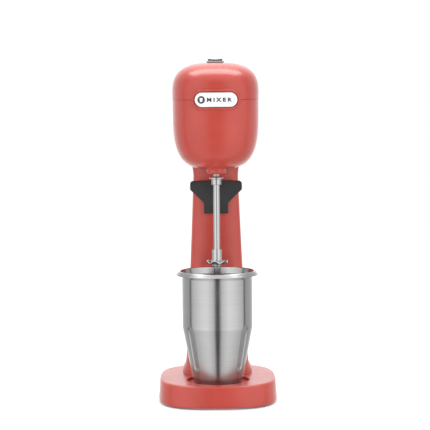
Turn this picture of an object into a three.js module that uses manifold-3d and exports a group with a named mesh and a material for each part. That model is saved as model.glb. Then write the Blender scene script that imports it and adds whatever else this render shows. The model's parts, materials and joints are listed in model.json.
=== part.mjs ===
// A bar milkshake mixer: a base with a cup recess, a hollow column, a two-part head with its motor,
// a spindle with two agitators, a steel cup and the sprung holder that starts the motor.
// Millimetres, +Z up, -Y to the front. Everything is laid out from the spindle axis, and the whole
// machine is then moved back so that the base is centred on the origin.
import * as THREE from 'three';
import { mergeVertices } from 'three/addons/utils/BufferGeometryUtils.js';
import Module from 'manifold-3d';

const wasm = await Module();
wasm.setup();

// Clearances.
const GAP = 0.3; // between pieces that touch
const RUNNING = 0.15; // around the turning shaft
const BORE_GAP = 0.3; // around screws, bolts and pins
const MERGE = 1e-4;
const BEYOND = 60; // how far a cutter reaches past the solid that it cuts

// Castings.
const WALL = 3;
const CAP_PROUD = 0.4; // the cap overhangs the motor housing by this much

// Base.
const BASE_WIDTH = 170;
const BASE_HEIGHT = 31;
const BASE_ROUNDNESS = 3;
const BASE_DRAFT = 1.7;
const BASE_FILLET = 4.6;
const BASE_FRONT_MARGIN = 16.5; // from the recess to the front edge
const BASE_REAR_MARGIN = 8.3; // from the column's foot to the rear edge
const PLATE_THICKNESS = 1.5;
const FOOT_RADIUS = 9;
const FOOT_PROUD = 2; // gap under the base's rim
const FOOT_INSET = 17.3; // from the base's corner to a foot's centre
const SCREW_RADIUS = 1.8;
const SCREW_HEAD_RADIUS = 3.2;
const SCREW_HEAD_HEIGHT = 2;
const SCREW_LENGTH = 15;
const BOSS_RADIUS = 5;
const RECESS_MARGIN = 8.5; // around the cup's bottom
const RECESS_DEPTH = 3.5;
const GLAND_RADIUS = 5.5;
const GLAND_FLANGE_RADIUS = 7.2;
const GLAND_FLANGE_HEIGHT = 1.6;
const GLAND_HOLE_RADIUS = 3.6;
const GLAND_LENGTH = 11;
const TERMINAL_SIZE = [32, 16, 13];

// Cup.
const CUP_RADIUS = 50.2;
const CUP_BOTTOM_RADIUS = 35;
const CUP_HEIGHT = 160.2;
const CUP_TAPER_HEIGHT = 80;
const CUP_FLANGE_WIDTH = 8.6; // beyond the cup's straight wall
const CUP_FLANGE_DROP = 6;
const CUP_WALL = 1;
const FLUTE_RADIUS = 10;
const FLUTE_DEPTH = 1.6;
const FLUTE_LOW = 15;
const FLUTE_HIGH = 89;
const FLUTE_TURN = Math.PI * (38 / 180); // from the X axis, mirrored left and right, front and back

// Column.
const COLUMN_HEIGHT = 300;
const COLUMN_TOP_HALF_WIDTH = 32.2;
const COLUMN_FOOT_HALF_WIDTH = 46.9;
const COLUMN_BULGE = 3; // curve of the sides, as the squared share of the foot's extra width
const COLUMN_TOP_DEPTH = 33.7;
const COLUMN_FOOT_DEPTH = 59.2; // from the plane of the front face to the back, without the foot's fillet
const COLUMN_ROUNDNESS = 3;
const COLUMN_FOOT_REACH = 34.8; // how far the foot comes forward round the cup
const COLUMN_REACH_HEIGHT = 157;
const COLUMN_FOOT_FILLET = 18;
const COLUMN_FOOT_STEP = 3.8;
const COLUMN_TOP_FLARE = 2;
const COLUMN_FLARE_HEIGHT = 15;
const COLUMN_WALL = 3.5;
const CUP_ROOM = 5; // between the cup's body and the hollowed front of the column
const BOLT_RADIUS = 2.5;
const BOLT_HEAD_RADIUS = 4.5;
const BOLT_HEAD_HEIGHT = 4;
const BOLT_LENGTH = 22;
const POST_RADIUS = 6;
const LOOM_RADIUS = 3;
const LOOM_HOLE_RADIUS = 6;

// Head.
const HEAD_WIDTH = 122;
const HEAD_DEPTH = 167;
const HEAD_SETBACK = 26; // from the spindle axis back to the head's centre
const HEAD_LOWER_HEIGHT = 87;
const HEAD_BELT_HEIGHT = 20;
const HEAD_UPPER_HEIGHT = 44;
const HEAD_PLAN_ROUNDNESS = 2.6;
const HEAD_LOWER_ROUNDNESS = 3.3;
const HEAD_UPPER_ROUNDNESS = 2.9;
const SEAM_HEIGHT = 99.5; // from the head's lowest point to the seam
const LIP_THICKNESS = 1.6;
const LIP_DEPTH = 5;
const NOSE_RADIUS = 13.75;
const NOSE_DROP = 6;
const BADGE_WIDTH = 61;
const BADGE_HEIGHT = 21;
const BADGE_SURROUND = 2;
const BADGE_PROUD = 2;
const BADGE_THICKNESS = 1.2;
const BADGE_RIM = 1.8;
const VENT_COUNT = 6;
const VENT_WIDTH = 3;
const VENT_PITCH = 6.5;
const VENT_HEIGHT = 15;
const VENT_RISE = 4; // from the seam to a vent
const CAP_TAB_WIDTH = 12;
const CAP_TAB_DROP = 15;
const CAP_SCREW_X = 30;
const CAP_SCREW_DROP = 9;

// Speed switch.
const SWITCH_WIDTH = 25;
const SWITCH_DEPTH = 19;
const SWITCH_FRAME_HEIGHT = 2.5;
const SWITCH_BODY_DEPTH = 20;
const SWITCH_RIM = 1.6;
const ROCKER_PROUD = 2.8; // its raised ends above the frame
const ROCKER_DIP = 2.6;
const ROCKER_ROOM = 0.7;
const ROCKER_DEPTH = 7;

// Motor.
const SHAFT_RADIUS = 4.5;
const BEARING_RADIUS = 11;
const BEARING_HEIGHT = 7;
const SEAL_RADIUS = 8;
const SEAL_HEIGHT = 5;
const STACK_HEIGHT = 32;
const STACK_WIDTH = 70;
const STACK_DEPTH = 82;
const STACK_CORNER = 14;
const ARMATURE_RADIUS = 22;
const AIR_GAP = 0.5;
const SLOT_COUNT = 8;
const SLOT_WIDTH = 5;
const SLOT_DEPTH = 6;
const COIL_INNER = 14.5;
const COIL_OUTER = 23;
const COIL_NEAR = 24;
const COIL_FAR = 33;
const COIL_END = 9;
const WINDING_END = 8;
const WINDING_RADIUS = 19;
const COMMUTATOR_RADIUS = 13;
const COMMUTATOR_HEIGHT = 16;
const BRUSH_SIZE = 6;
const BRUSH_LENGTH = 17;
const BRUSH_HOLDER_WALL = 2;
const BRUSH_HOLDER_LENGTH = 20;
const BRACKET_THICKNESS = 3;
const MOTOR_BOLT_RADIUS = 2;
const MOTOR_BOLT_X = 30;
const MOTOR_BOLT_HEAD_RADIUS = 3.6;
const MOTOR_BOLT_HEAD_HEIGHT = 3;
const MOTOR_POST_RADIUS = 4.3;
const FAN_RADIUS = 25;
const FAN_HEIGHT = 9;
const FAN_BLADES = 8;
const CAPACITOR_SIZE = [26, 16, 24];

// Spindle.
const ROD_RADIUS = 4.65;
const ROD_LENGTH = 149;
const NUT_RADIUS = 7.25;
const NUT_HEIGHT = 11;
const NUT_FLANGE_RADIUS = 10;
const NUT_FLANGE_HEIGHT = 3;
const NECK_LENGTH = 4; // bare shaft between the nose and the nut
const AGITATOR_RADIUS = 15.2;
const AGITATOR_THICKNESS = 2.2;
const AGITATOR_WAVE = 3.2;
const AGITATOR_LOBES = 6;
const HUB_RADIUS = 7;
const UPPER_HUB_HEIGHT = 24;
const LOWER_HUB_HEIGHT = 11;
const LOWER_AGITATOR_SPACING = 27;
const AGITATOR_DROP = 128; // from the head's lowest point to the upper disc's top

// Cup holder and its switch.
const HOLDER_CLEARANCE = 0.9; // between the cup's flange and the holder
const HOLDER_THICKNESS = 4.7;
const HOLDER_DROP = 18.5; // from the head's lowest point to the holder's top
const HOLDER_HEIGHT = 48;
const HOLDER_WIDTH = 75;
const HOLDER_STEM_WIDTH = 35;
const HOLDER_WING_HEIGHT = 12.5;
const HOLDER_SLANT_HEIGHT = 20;
const HOLDER_CORNER = 4.5;
const HOLDER_TRAVEL = 3;
const SLIDE_NECK_WIDTH = 14;
const SLIDE_PLATE_WIDTH = 26;
const SLIDE_PLATE_THICKNESS = 4;
const SLIDE_PLATE_HEIGHT = 30;
const SLIDE_NECK_HEIGHT = 24;
const SLIDE_NECK_LENGTH = 7.2;
const SLIDE_PLAY = 0.5;
const GUIDE_WALL = 2.5;
const GUIDE_SPRING_ROOM = 14;
const SPRING_RADIUS = 2.4;
const SPRING_WIRE_RADIUS = 0.5;
const SPRING_TURNS = 4;
const SPRING_X = -7;
const PLUNGER_RADIUS = 1.6;
const PLUNGER_X = 7;
const PLUNGER_SINK = 4;
const MICROSWITCH_SIZE = [20, 8, 16];

// Facet counts.
const LARGE_SIDES = 40;
const INNER_SIDES = 24;
const ROUND_SIDES = 16;
const SMALL_SIDES = 8;

// Levels and places worked out from the driving dimensions.
const baseTop = FOOT_PROUD + BASE_HEIGHT;
const recessRadius = CUP_BOTTOM_RADIUS + RECESS_MARGIN;
const cupFloor = baseTop - RECESS_DEPTH + GAP;
const flangeRadius = CUP_RADIUS + CUP_FLANGE_WIDTH;
const holderRadius = flangeRadius + HOLDER_CLEARANCE;
const holderBack = holderRadius + HOLDER_THICKNESS;
const columnFront = holderBack + GAP;
const baseFront = -(recessRadius + BASE_FRONT_MARGIN);
const baseRear = columnFront + COLUMN_FOOT_DEPTH + BASE_REAR_MARGIN + COLUMN_FOOT_STEP;
const baseCentre = (baseFront + baseRear) / 2;
const baseHalfDepth = (baseRear - baseFront) / 2;
const headBottom = baseTop + COLUMN_HEIGHT;
const headBeltLow = headBottom + HEAD_LOWER_HEIGHT;
const headBeltHigh = headBeltLow + HEAD_BELT_HEIGHT;
const headTop = headBeltHigh + HEAD_UPPER_HEIGHT;
const seam = headBottom + SEAM_HEIGHT;
const noseBottom = headBottom - NOSE_DROP;
const nutTop = noseBottom - NECK_LENGTH;
const nutBottom = nutTop - NUT_HEIGHT;
const rodTop = nutTop - NUT_HEIGHT / 2 - GAP;
const agitatorTop = headBottom - AGITATOR_DROP;
const holderTop = headBottom - HOLDER_DROP;
const holderBottom = holderTop - HOLDER_HEIGHT;
const lowerBearing = headBottom + 4.3;
const stackBottom = lowerBearing + BEARING_HEIGHT + 27.7;
const stackTop = stackBottom + STACK_HEIGHT;
const commutatorBottom = stackTop + WINDING_END + 5;
const commutatorMiddle = commutatorBottom + COMMUTATOR_HEIGHT / 2;
const bracketBottom = commutatorBottom + COMMUTATOR_HEIGHT + 3;
const bracketTop = bracketBottom + BRACKET_THICKNESS;
const loomTopY = columnFront + COLUMN_TOP_DEPTH / 2 + 2;
const loomFootY = columnFront + COLUMN_FOOT_DEPTH / 2 + 6;

// ---- Solids ----------------------------------------------------------------------------------

function solidOf(geometry) {
  const bare = geometry.clone();
  bare.deleteAttribute('normal');
  bare.deleteAttribute('uv');
  const merged = mergeVertices(bare, MERGE);
  const corners = merged.index.array;
  const triVerts = [];
  for (let i = 0; i < corners.length; i += 3) {
    const [a, b, c] = corners.slice(i, i + 3);
    if (a !== b && b !== c && c !== a) {
      triVerts.push(a, b, c);
    }
  }
  return new wasm.Manifold(new wasm.Mesh({
    numProp: 3,
    vertProperties: new Float32Array(merged.attributes.position.array),
    triVerts: new Uint32Array(triVerts),
  }));
}

function geometryOf(solid) {
  const mesh = solid.getMesh();
  const geometry = new THREE.BufferGeometry();
  geometry.setAttribute('position', new THREE.BufferAttribute(mesh.vertProperties, 3));
  geometry.setIndex(new THREE.BufferAttribute(mesh.triVerts, 1));
  geometry.computeVertexNormals();
  return geometry;
}

function joined(solids) {
  return solids.reduce((all, next) => all.add(next));
}

function cutBy(solid, cutters) {
  return cutters.reduce((left, cutter) => left.subtract(cutter), solid);
}

// A box from its low corner to its high corner.
function box(low, high) {
  const size = high.map((value, i) => value - low[i]);
  const geometry = new THREE.BoxGeometry(...size);
  geometry.translate(...low.map((value, i) => value + size[i] / 2));
  return solidOf(geometry);
}

// A box centred on X.
function barAcross(width, y, z) {
  return box([-width / 2, y[0], z[0]], [width / 2, y[1], z[1]]);
}

// An upright cylinder.
function upright(radius, low, high, x = 0, y = 0, sides = ROUND_SIDES) {
  const geometry = new THREE.CylinderGeometry(radius, radius, high - low, sides);
  geometry.rotateX(Math.PI / 2);
  geometry.translate(x, y, (low + high) / 2);
  return solidOf(geometry);
}

// An upright hole whose flats, not its corners, lie at the radius.
function hole(radius, low, high, x = 0, y = 0, sides = ROUND_SIDES) {
  return upright(radius / Math.cos(Math.PI / sides), low, high, x, y, sides);
}

// A cylinder along Y.
function lengthwise(radius, front, back, x, z, sides = SMALL_SIDES) {
  const geometry = new THREE.CylinderGeometry(radius, radius, back - front, sides);
  geometry.translate(x, (front + back) / 2, z);
  return solidOf(geometry);
}

// A profile of [radius, height] points, outside upwards, turned about the spindle axis.
function turned(profile, sides = ROUND_SIDES) {
  const geometry = new THREE.LatheGeometry(profile.map(([r, z]) => new THREE.Vector2(r, z)), sides);
  geometry.rotateX(Math.PI / 2);
  return solidOf(geometry);
}

// A ring with flat faces.
function ring(inner, outer, low, high, sides = ROUND_SIDES) {
  return upright(outer, low, high, 0, 0, sides).subtract(hole(inner, low - 1, high + 1, 0, 0, sides));
}

// A horizontal section: a rounded rectangle whose corners follow a power curve.
function section(halfWidth, halfDepth, roundness, centreY, z, sides) {
  const points = [];
  for (let i = 0; i < sides; i += 1) {
    const turn = (2 * Math.PI * i) / sides;
    const across = (Math.abs(Math.cos(turn)) / halfWidth) ** roundness;
    const along = (Math.abs(Math.sin(turn)) / halfDepth) ** roundness;
    const reach = (across + along) ** (-1 / roundness);
    points.push([reach * Math.cos(turn), centreY + reach * Math.sin(turn), z]);
  }
  return points;
}

// A place inside a section's corner, an inset away from its skin.
function cornerPlace(halfWidth, halfDepth, roundness, inset) {
  const share = 2 ** (-1 / roundness);
  const outward = new THREE.Vector2(1 / halfWidth, 1 / halfDepth).normalize();
  return [halfWidth * share - inset * outward.x, halfDepth * share - inset * outward.y];
}

// A closed skin through sections with the same number of points, lowest first.
function loft(sections) {
  const count = sections[0].length;
  const points = sections.flat();
  const lastStart = (sections.length - 1) * count;
  const corners = [];
  for (let level = 0; level < lastStart; level += count) {
    for (let i = 0; i < count; i += 1) {
      const next = (i + 1) % count;
      corners.push(level + i, level + next, level + count + next);
      corners.push(level + i, level + count + next, level + count + i);
    }
  }
  for (let i = 1; i < count - 1; i += 1) {
    corners.push(0, i + 1, i);
    corners.push(lastStart, lastStart + i, lastStart + i + 1);
  }
  const geometry = new THREE.BufferGeometry();
  geometry.setAttribute('position', new THREE.Float32BufferAttribute(points.flat(), 3));
  geometry.setIndex(corners);
  return solidOf(geometry);
}

// An outline in X and Z, extruded along Y.
function frontal(shape, front, back, curveSteps = 5) {
  const settings = { depth: back - front, bevelEnabled: false, curveSegments: curveSteps };
  const geometry = new THREE.ExtrudeGeometry(shape, settings);
  geometry.rotateX(Math.PI / 2);
  geometry.translate(0, back, 0);
  return solidOf(geometry);
}

// An outline in X and Y, extruded upwards.
function plan(shape, low, high, curveSteps = 5) {
  const settings = { depth: high - low, bevelEnabled: false, curveSegments: curveSteps };
  const geometry = new THREE.ExtrudeGeometry(shape, settings);
  geometry.translate(0, 0, low);
  return solidOf(geometry);
}

function pillShape(width, height, centreHeight) {
  const radius = height / 2;
  const straight = width / 2 - radius;
  const shape = new THREE.Shape();
  shape.absarc(straight, centreHeight, radius, -Math.PI / 2, Math.PI / 2);
  shape.absarc(-straight, centreHeight, radius, Math.PI / 2, (3 * Math.PI) / 2);
  shape.closePath();
  return shape;
}

function roundedRectangle(width, depth, corner) {
  const x = width / 2 - corner;
  const y = depth / 2 - corner;
  const shape = new THREE.Shape();
  shape.absarc(x, -y, corner, -Math.PI / 2, 0);
  shape.absarc(x, y, corner, 0, Math.PI / 2);
  shape.absarc(-x, y, corner, Math.PI / 2, Math.PI);
  shape.absarc(-x, -y, corner, Math.PI, (3 * Math.PI) / 2);
  shape.closePath();
  return shape;
}

function leftAndRight(make) {
  return [-1, 1].map(make);
}

// ---- Scene -----------------------------------------------------------------------------------

const mixer = new THREE.Group();
const machine = new THREE.Group();
machine.position.set(0, -baseCentre, 0);
mixer.add(machine);

const finishes = {
  paint: { color: 0xc24c46, roughness: 0.4, metalness: 0.1 },
  brushed: { color: 0xb9bcc0, roughness: 0.3, metalness: 1 },
  polished: { color: 0xd6d8da, roughness: 0.15, metalness: 1 },
  zinc: { color: 0xa8abaf, roughness: 0.4, metalness: 1 },
  lamination: { color: 0x6f7276, roughness: 0.6, metalness: 0.8 },
  copper: { color: 0xb8703c, roughness: 0.4, metalness: 1 },
  carbon: { color: 0x2a2a2c, roughness: 0.8, metalness: 0.1 },
  blackPlastic: { color: 0x2b2c2e, roughness: 0.5, metalness: 0 },
  greyPlastic: { color: 0x6c6e70, roughness: 0.5, metalness: 0 },
  whitePlastic: { color: 0xe3e3df, roughness: 0.5, metalness: 0 },
  rubber: { color: 0x1c1c1d, roughness: 0.9, metalness: 0 },
  plate: { color: 0xe6e7e9, roughness: 0.25, metalness: 0.9 },
};

function place(group, name, solid, finish, position = [0, 0, 0]) {
  const mesh = new THREE.Mesh(geometryOf(solid), new THREE.MeshStandardMaterial(finishes[finish]));
  mesh.name = name;
  mesh.position.set(...position);
  group.add(mesh);
}

// ---- Head outline ----------------------------------------------------------------------------

// The head's outer shape, grown or shrunk by an offset.
function headForm(offset, sides) {
  const lowerSteps = sides === LARGE_SIDES ? 8 : 5;
  const upperSteps = sides === LARGE_SIDES ? 5 : 3;
  const sections = [];
  const addSection = (share, z) => sections.push(section(
    Math.max(share * (HEAD_WIDTH / 2 + offset), MERGE / 10),
    Math.max(share * (HEAD_DEPTH / 2 + offset), MERGE / 10),
    HEAD_PLAN_ROUNDNESS, HEAD_SETBACK, z, sides));
  for (let i = 0; i <= lowerSteps; i += 1) {
    const turn = (Math.PI / 2) * (i / lowerSteps);
    const fall = (HEAD_LOWER_HEIGHT + offset) * Math.cos(turn) ** (2 / HEAD_LOWER_ROUNDNESS);
    addSection(Math.sin(turn) ** (2 / HEAD_LOWER_ROUNDNESS), headBeltLow - fall);
  }
  for (let i = 0; i <= upperSteps; i += 1) {
    const turn = (Math.PI / 2) * (i / upperSteps);
    const rise = (HEAD_UPPER_HEIGHT + offset) * Math.sin(turn) ** (2 / HEAD_UPPER_ROUNDNESS);
    addSection(Math.cos(turn) ** (2 / HEAD_UPPER_ROUNDNESS), headBeltHigh + rise);
  }
  return loft(sections);
}

function slab(low, high) {
  return box([-HEAD_WIDTH, -HEAD_DEPTH, low], [HEAD_WIDTH, HEAD_DEPTH + BEYOND, high]);
}

const badgeHeight = seam + GAP / 2;

// The raised pill that holds the name plate, across the seam.
function badgeBoss() {
  const width = BADGE_WIDTH + 2 * (BADGE_SURROUND + GAP);
  const height = BADGE_HEIGHT + 2 * (BADGE_SURROUND + GAP);
  const pill = frontal(pillShape(width, height, badgeHeight), -HEAD_DEPTH, HEAD_SETBACK);
  const skin = headForm(BADGE_PROUD, LARGE_SIDES).subtract(headForm(-WALL / 2, LARGE_SIDES));
  return pill.intersect(skin);
}

function badgePocket() {
  const shape = pillShape(BADGE_WIDTH + 2 * GAP, BADGE_HEIGHT + 2 * GAP, badgeHeight);
  const pill = frontal(shape, -HEAD_DEPTH, HEAD_SETBACK);
  return pill.subtract(headForm(BADGE_PROUD - BADGE_THICKNESS - GAP, LARGE_SIDES));
}

function namePlate() {
  const pill = frontal(pillShape(BADGE_WIDTH, BADGE_HEIGHT, badgeHeight), -HEAD_DEPTH, HEAD_SETBACK);
  const shape = pillShape(BADGE_WIDTH - 2 * BADGE_RIM, BADGE_HEIGHT - 2 * BADGE_RIM, badgeHeight);
  const field = frontal(shape, -HEAD_DEPTH, HEAD_SETBACK);
  const skin = headForm(BADGE_PROUD, LARGE_SIDES)
    .subtract(headForm(BADGE_PROUD - BADGE_THICKNESS, LARGE_SIDES));
  return pill.intersect(skin).subtract(field.subtract(headForm(BADGE_PROUD - 0.4, LARGE_SIDES)));
}

// ---- Column outline --------------------------------------------------------------------------

function columnHalfWidth(z) {
  const share = (headBottom - z) / COLUMN_HEIGHT;
  const spread = COLUMN_FOOT_HALF_WIDTH - COLUMN_TOP_HALF_WIDTH - COLUMN_BULGE;
  return COLUMN_TOP_HALF_WIDTH + spread * share + COLUMN_BULGE * share ** 2;
}

// How far the skin stands out at the foot's fillet and at the flare under the head.
function columnSpread(z) {
  const rise = THREE.MathUtils.clamp(z - baseTop, 0, COLUMN_FOOT_FILLET);
  const left = COLUMN_FOOT_FILLET - rise;
  const fillet = COLUMN_FOOT_FILLET - Math.sqrt(COLUMN_FOOT_FILLET ** 2 - left ** 2);
  const flare = Math.max(z - (headBottom - COLUMN_FLARE_HEIGHT), 0) / COLUMN_FLARE_HEIGHT;
  return Math.min(fillet, COLUMN_FOOT_STEP) + COLUMN_TOP_FLARE * Math.min(flare, 1) ** 2;
}

function columnSection(z, inset, sides) {
  const share = Math.max((headBottom - z) / COLUMN_HEIGHT, 0);
  const reach = Math.max(1 - (z - baseTop) / COLUMN_REACH_HEIGHT, 0) ** 3;
  const grow = columnSpread(z) - inset;
  const front = columnFront - COLUMN_FOOT_REACH * reach + inset;
  const back = columnFront + COLUMN_TOP_DEPTH + (COLUMN_FOOT_DEPTH - COLUMN_TOP_DEPTH) * share + grow;
  const halfDepth = (back - front) / 2;
  return section(columnHalfWidth(z) + grow, halfDepth, COLUMN_ROUNDNESS, (front + back) / 2, z, sides);
}

function columnForm(inset, low, sides) {
  const filletTop = baseTop + COLUMN_FOOT_FILLET;
  const stepTop = baseTop + COLUMN_FOOT_FILLET
    - Math.sqrt(COLUMN_FOOT_FILLET ** 2 - (COLUMN_FOOT_FILLET - COLUMN_FOOT_STEP) ** 2);
  const reachTop = baseTop + COLUMN_REACH_HEIGHT;
  const flareLow = headBottom - COLUMN_FLARE_HEIGHT;
  const levels = [low, stepTop, (stepTop + filletTop) / 2, filletTop];
  const reachSteps = sides === LARGE_SIDES ? 4 : 2;
  for (let i = 1; i <= reachSteps; i += 1) {
    levels.push(filletTop + ((reachTop - filletTop) * i) / reachSteps);
  }
  levels.push(flareLow, headBottom, headBottom + COLUMN_TOP_DEPTH + 4);
  return loft(levels.map((z) => columnSection(z, inset, sides)));
}

// The room that the cup needs in front of the column, grown by a wall where asked.
function cupRoom(extra) {
  const low = baseTop - 2;
  const bottom = CUP_BOTTOM_RADIUS + 2 * CUP_ROOM + extra;
  const body = CUP_RADIUS + CUP_ROOM + extra;
  const taperTop = cupFloor + CUP_TAPER_HEIGHT;
  const top = cupFloor + CUP_HEIGHT - 2 * CUP_FLANGE_DROP;
  return turned([[0, low], [bottom, low], [body, taperTop], [body, top], [0, top]], LARGE_SIDES);
}

// ---- Base ------------------------------------------------------------------------------------

const base = new THREE.Group();
machine.add(base);

function baseSection(inset, z, sides) {
  return section(BASE_WIDTH / 2 - inset, baseHalfDepth - inset, BASE_ROUNDNESS, baseCentre, z, sides);
}

function baseForm() {
  const sections = [baseSection(1.2, FOOT_PROUD, LARGE_SIDES), baseSection(0, FOOT_PROUD + 1.6, LARGE_SIDES)];
  const filletSteps = 4;
  for (let i = 0; i <= filletSteps; i += 1) {
    const turn = (Math.PI / 2) * (i / filletSteps);
    const inset = BASE_DRAFT + BASE_FILLET * (1 - Math.cos(turn));
    sections.push(baseSection(inset, baseTop - BASE_FILLET * (1 - Math.sin(turn)), LARGE_SIDES));
  }
  return loft(sections);
}

const plateLow = FOOT_PROUD + 1.5;
const plateHigh = plateLow + PLATE_THICKNESS;
const baseCeiling = baseTop - COLUMN_WALL;
const baseWall = BASE_DRAFT + WALL;
const [footX, footY] = cornerPlace(BASE_WIDTH / 2, baseHalfDepth, BASE_ROUNDNESS, FOOT_INSET);
const footPlaces = [
  ['front_left', -footX, baseCentre - footY],
  ['front_right', footX, baseCentre - footY],
  ['rear_left', -footX, baseCentre + footY],
  ['rear_right', footX, baseCentre + footY],
];

const postSink = 1.4; // how far a bolt post runs into the column's wall
const columnInside = COLUMN_FOOT_HALF_WIDTH - COLUMN_WALL;
const columnInsideDepth = (COLUMN_FOOT_DEPTH + COLUMN_FOOT_REACH) / 2 - COLUMN_WALL;
const columnInsideCentre = columnFront + (COLUMN_FOOT_DEPTH - COLUMN_FOOT_REACH) / 2;
const [rearPostX, rearPostReach] = cornerPlace(columnInside, columnInsideDepth, COLUMN_ROUNDNESS,
  POST_RADIUS - postSink);
const rearPostY = columnInsideCentre + rearPostReach;
const frontPostX = columnInside - POST_RADIUS + postSink;
const frontPostY = columnFront - 1;
const columnBoltPlaces = [
  ['front_left', -frontPostX, frontPostY],
  ['front_right', frontPostX, frontPostY],
  ['rear_left', -rearPostX, rearPostY],
  ['rear_right', rearPostX, rearPostY],
];
const boltHeadHigh = baseCeiling - GAP;
const glandHeight = FOOT_PROUD + BASE_HEIGHT / 2;
const glandFace = baseRear - BASE_DRAFT;

function baseCasting() {
  const hollow = loft([
    baseSection(baseWall, 0, INNER_SIDES),
    baseSection(baseWall, baseCeiling - 2, INNER_SIDES),
    baseSection(baseWall + 2, baseCeiling, INNER_SIDES),
  ]);
  const recessFloor = upright(recessRadius + WALL, baseCeiling - WALL, baseCeiling + 1, 0, 0, INNER_SIDES);
  const bosses = footPlaces.map(([, x, y]) => upright(BOSS_RADIUS, plateHigh + GAP, baseCeiling + 1, x, y));
  const screwHoles = footPlaces.map(([, x, y]) => (
    hole(SCREW_RADIUS + BORE_GAP, 0, SCREW_LENGTH + plateHigh, x, y, SMALL_SIDES)));
  const boltHoles = columnBoltPlaces.map(([, x, y]) => (
    hole(BOLT_RADIUS + BORE_GAP, boltHeadHigh, baseTop + 1, x, y, SMALL_SIDES)));
  const glandBoss = lengthwise(GLAND_FLANGE_RADIUS + WALL, glandFace - GLAND_LENGTH + 1, glandFace - 2, 0,
    glandHeight, ROUND_SIDES).intersect(baseForm());
  return cutBy(joined([baseForm().subtract(hollow), recessFloor, ...bosses, glandBoss]), [
    hole(recessRadius, baseTop - RECESS_DEPTH, baseTop + 1, 0, 0, LARGE_SIDES),
    hole(LOOM_HOLE_RADIUS, baseCeiling - 1, baseTop + 1, 0, loomFootY),
    lengthwise(GLAND_RADIUS + GAP, glandFace - BEYOND / 2, glandFace + 2, 0, glandHeight, ROUND_SIDES),
    lengthwise(GLAND_FLANGE_RADIUS + GAP, glandFace - GLAND_FLANGE_HEIGHT - GAP, baseRear + 1, 0,
      glandHeight, ROUND_SIDES),
    ...screwHoles,
    ...boltHoles,
  ]);
}

function basePlate() {
  const inset = baseWall + GAP;
  const sheet = loft([baseSection(inset, plateLow, INNER_SIDES), baseSection(inset, plateHigh, INNER_SIDES)]);
  return cutBy(sheet, footPlaces.map(([, x, y]) => (
    hole(SCREW_RADIUS + BORE_GAP, 0, plateHigh + 1, x, y, SMALL_SIDES))));
}

const screwHeadLow = 0.8;

function rubberFoot() {
  const headRoom = screwHeadLow + SCREW_HEAD_HEIGHT - GAP;
  const pad = turned([[0, 0], [FOOT_RADIUS - 0.8, 0], [FOOT_RADIUS, 0.8],
    [FOOT_RADIUS, plateLow - GAP], [0, plateLow - GAP]], SMALL_SIDES * 2);
  return cutBy(pad, [
    hole(SCREW_RADIUS + BORE_GAP, -1, plateLow + 1, 0, 0, SMALL_SIDES),
    hole(SCREW_HEAD_RADIUS + BORE_GAP, -1, headRoom, 0, 0, SMALL_SIDES),
  ]);
}

// A pan-head screw standing on its head, with a driver slot.
function screw(radius, headRadius, headHeight, length) {
  const profile = [[0, 0], [headRadius * 0.8, 0], [headRadius, headHeight * 0.4], [headRadius, headHeight],
    [radius, headHeight], [radius, length], [0, length]];
  const slotHalf = radius * 0.22;
  return turned(profile, SMALL_SIDES)
    .subtract(box([-headRadius, -slotHalf, -1], [headRadius, slotHalf, headHeight / 3]));
}

// A socket-head bolt standing on its head.
function socketBolt(radius, headRadius, headHeight, length) {
  const profile = [[0, 0], [headRadius, 0], [headRadius, headHeight], [radius, headHeight],
    [radius, length], [0, length]];
  return turned(profile, SMALL_SIDES).subtract(upright(radius * 0.7, -1, headHeight * 0.6, 0, 0, 6));
}

function cordGland() {
  const flangeFront = glandFace - GLAND_FLANGE_HEIGHT;
  const flange = lengthwise(GLAND_FLANGE_RADIUS, flangeFront, glandFace, 0, 0, ROUND_SIDES);
  const body = lengthwise(GLAND_RADIUS, glandFace - GLAND_LENGTH, glandFace - 1, 0, 0, ROUND_SIDES);
  const bore = lengthwise(GLAND_HOLE_RADIUS, glandFace - BEYOND, glandFace + 1, 0, 0, ROUND_SIDES);
  return flange.add(body).subtract(bore);
}

function terminalBlock() {
  const [width, depth, height] = TERMINAL_SIZE;
  const low = plateHigh + GAP;
  const y = rearPostY - depth - POST_RADIUS - 2;
  const block = barAcross(width, [y, y + depth], [low, low + height]);
  const wells = [-1.5, -0.5, 0.5, 1.5].map((step) => (
    upright(SCREW_RADIUS, low + height / 2, low + height + 1, (step * width) / 4, y + depth / 4, SMALL_SIDES)));
  return cutBy(block, wells);
}

place(base, 'base_casting', baseCasting(), 'paint');
place(base, 'base_plate', basePlate(), 'zinc');
place(base, 'cord_gland', cordGland(), 'rubber', [0, 0, glandHeight]);
place(base, 'terminal_block', terminalBlock(), 'whitePlastic');
footPlaces.forEach(([name, x, y]) => {
  const fixing = screw(SCREW_RADIUS, SCREW_HEAD_RADIUS, SCREW_HEAD_HEIGHT, SCREW_LENGTH);
  place(base, `foot_${name}`, rubberFoot(), 'rubber', [x, y, 0]);
  place(base, `foot_screw_${name}`, fixing, 'zinc', [x, y, screwHeadLow - GAP]);
});

// ---- Column ----------------------------------------------------------------------------------

const column = new THREE.Group();
machine.add(column);

const slideMiddle = (holderTop + holderBottom) / 2;
const neckLow = slideMiddle - SLIDE_NECK_HEIGHT / 2;
const neckHigh = slideMiddle + SLIDE_NECK_HEIGHT / 2;
const plateFront = holderBack + SLIDE_NECK_LENGTH;
const plateBack = plateFront + SLIDE_PLATE_THICKNESS;
const slideLow = slideMiddle - SLIDE_PLATE_HEIGHT / 2;
const shelfHigh = slideLow - GUIDE_SPRING_ROOM;
const shelfLow = shelfHigh - GUIDE_WALL;
const plungerY = plateFront + SLIDE_PLATE_THICKNESS / 2;
const holderScrewHeights = [slideMiddle - 7, slideMiddle + 7];
const headBoltX = COLUMN_TOP_HALF_WIDTH - 14;
const headBoltLength = 20;

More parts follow.
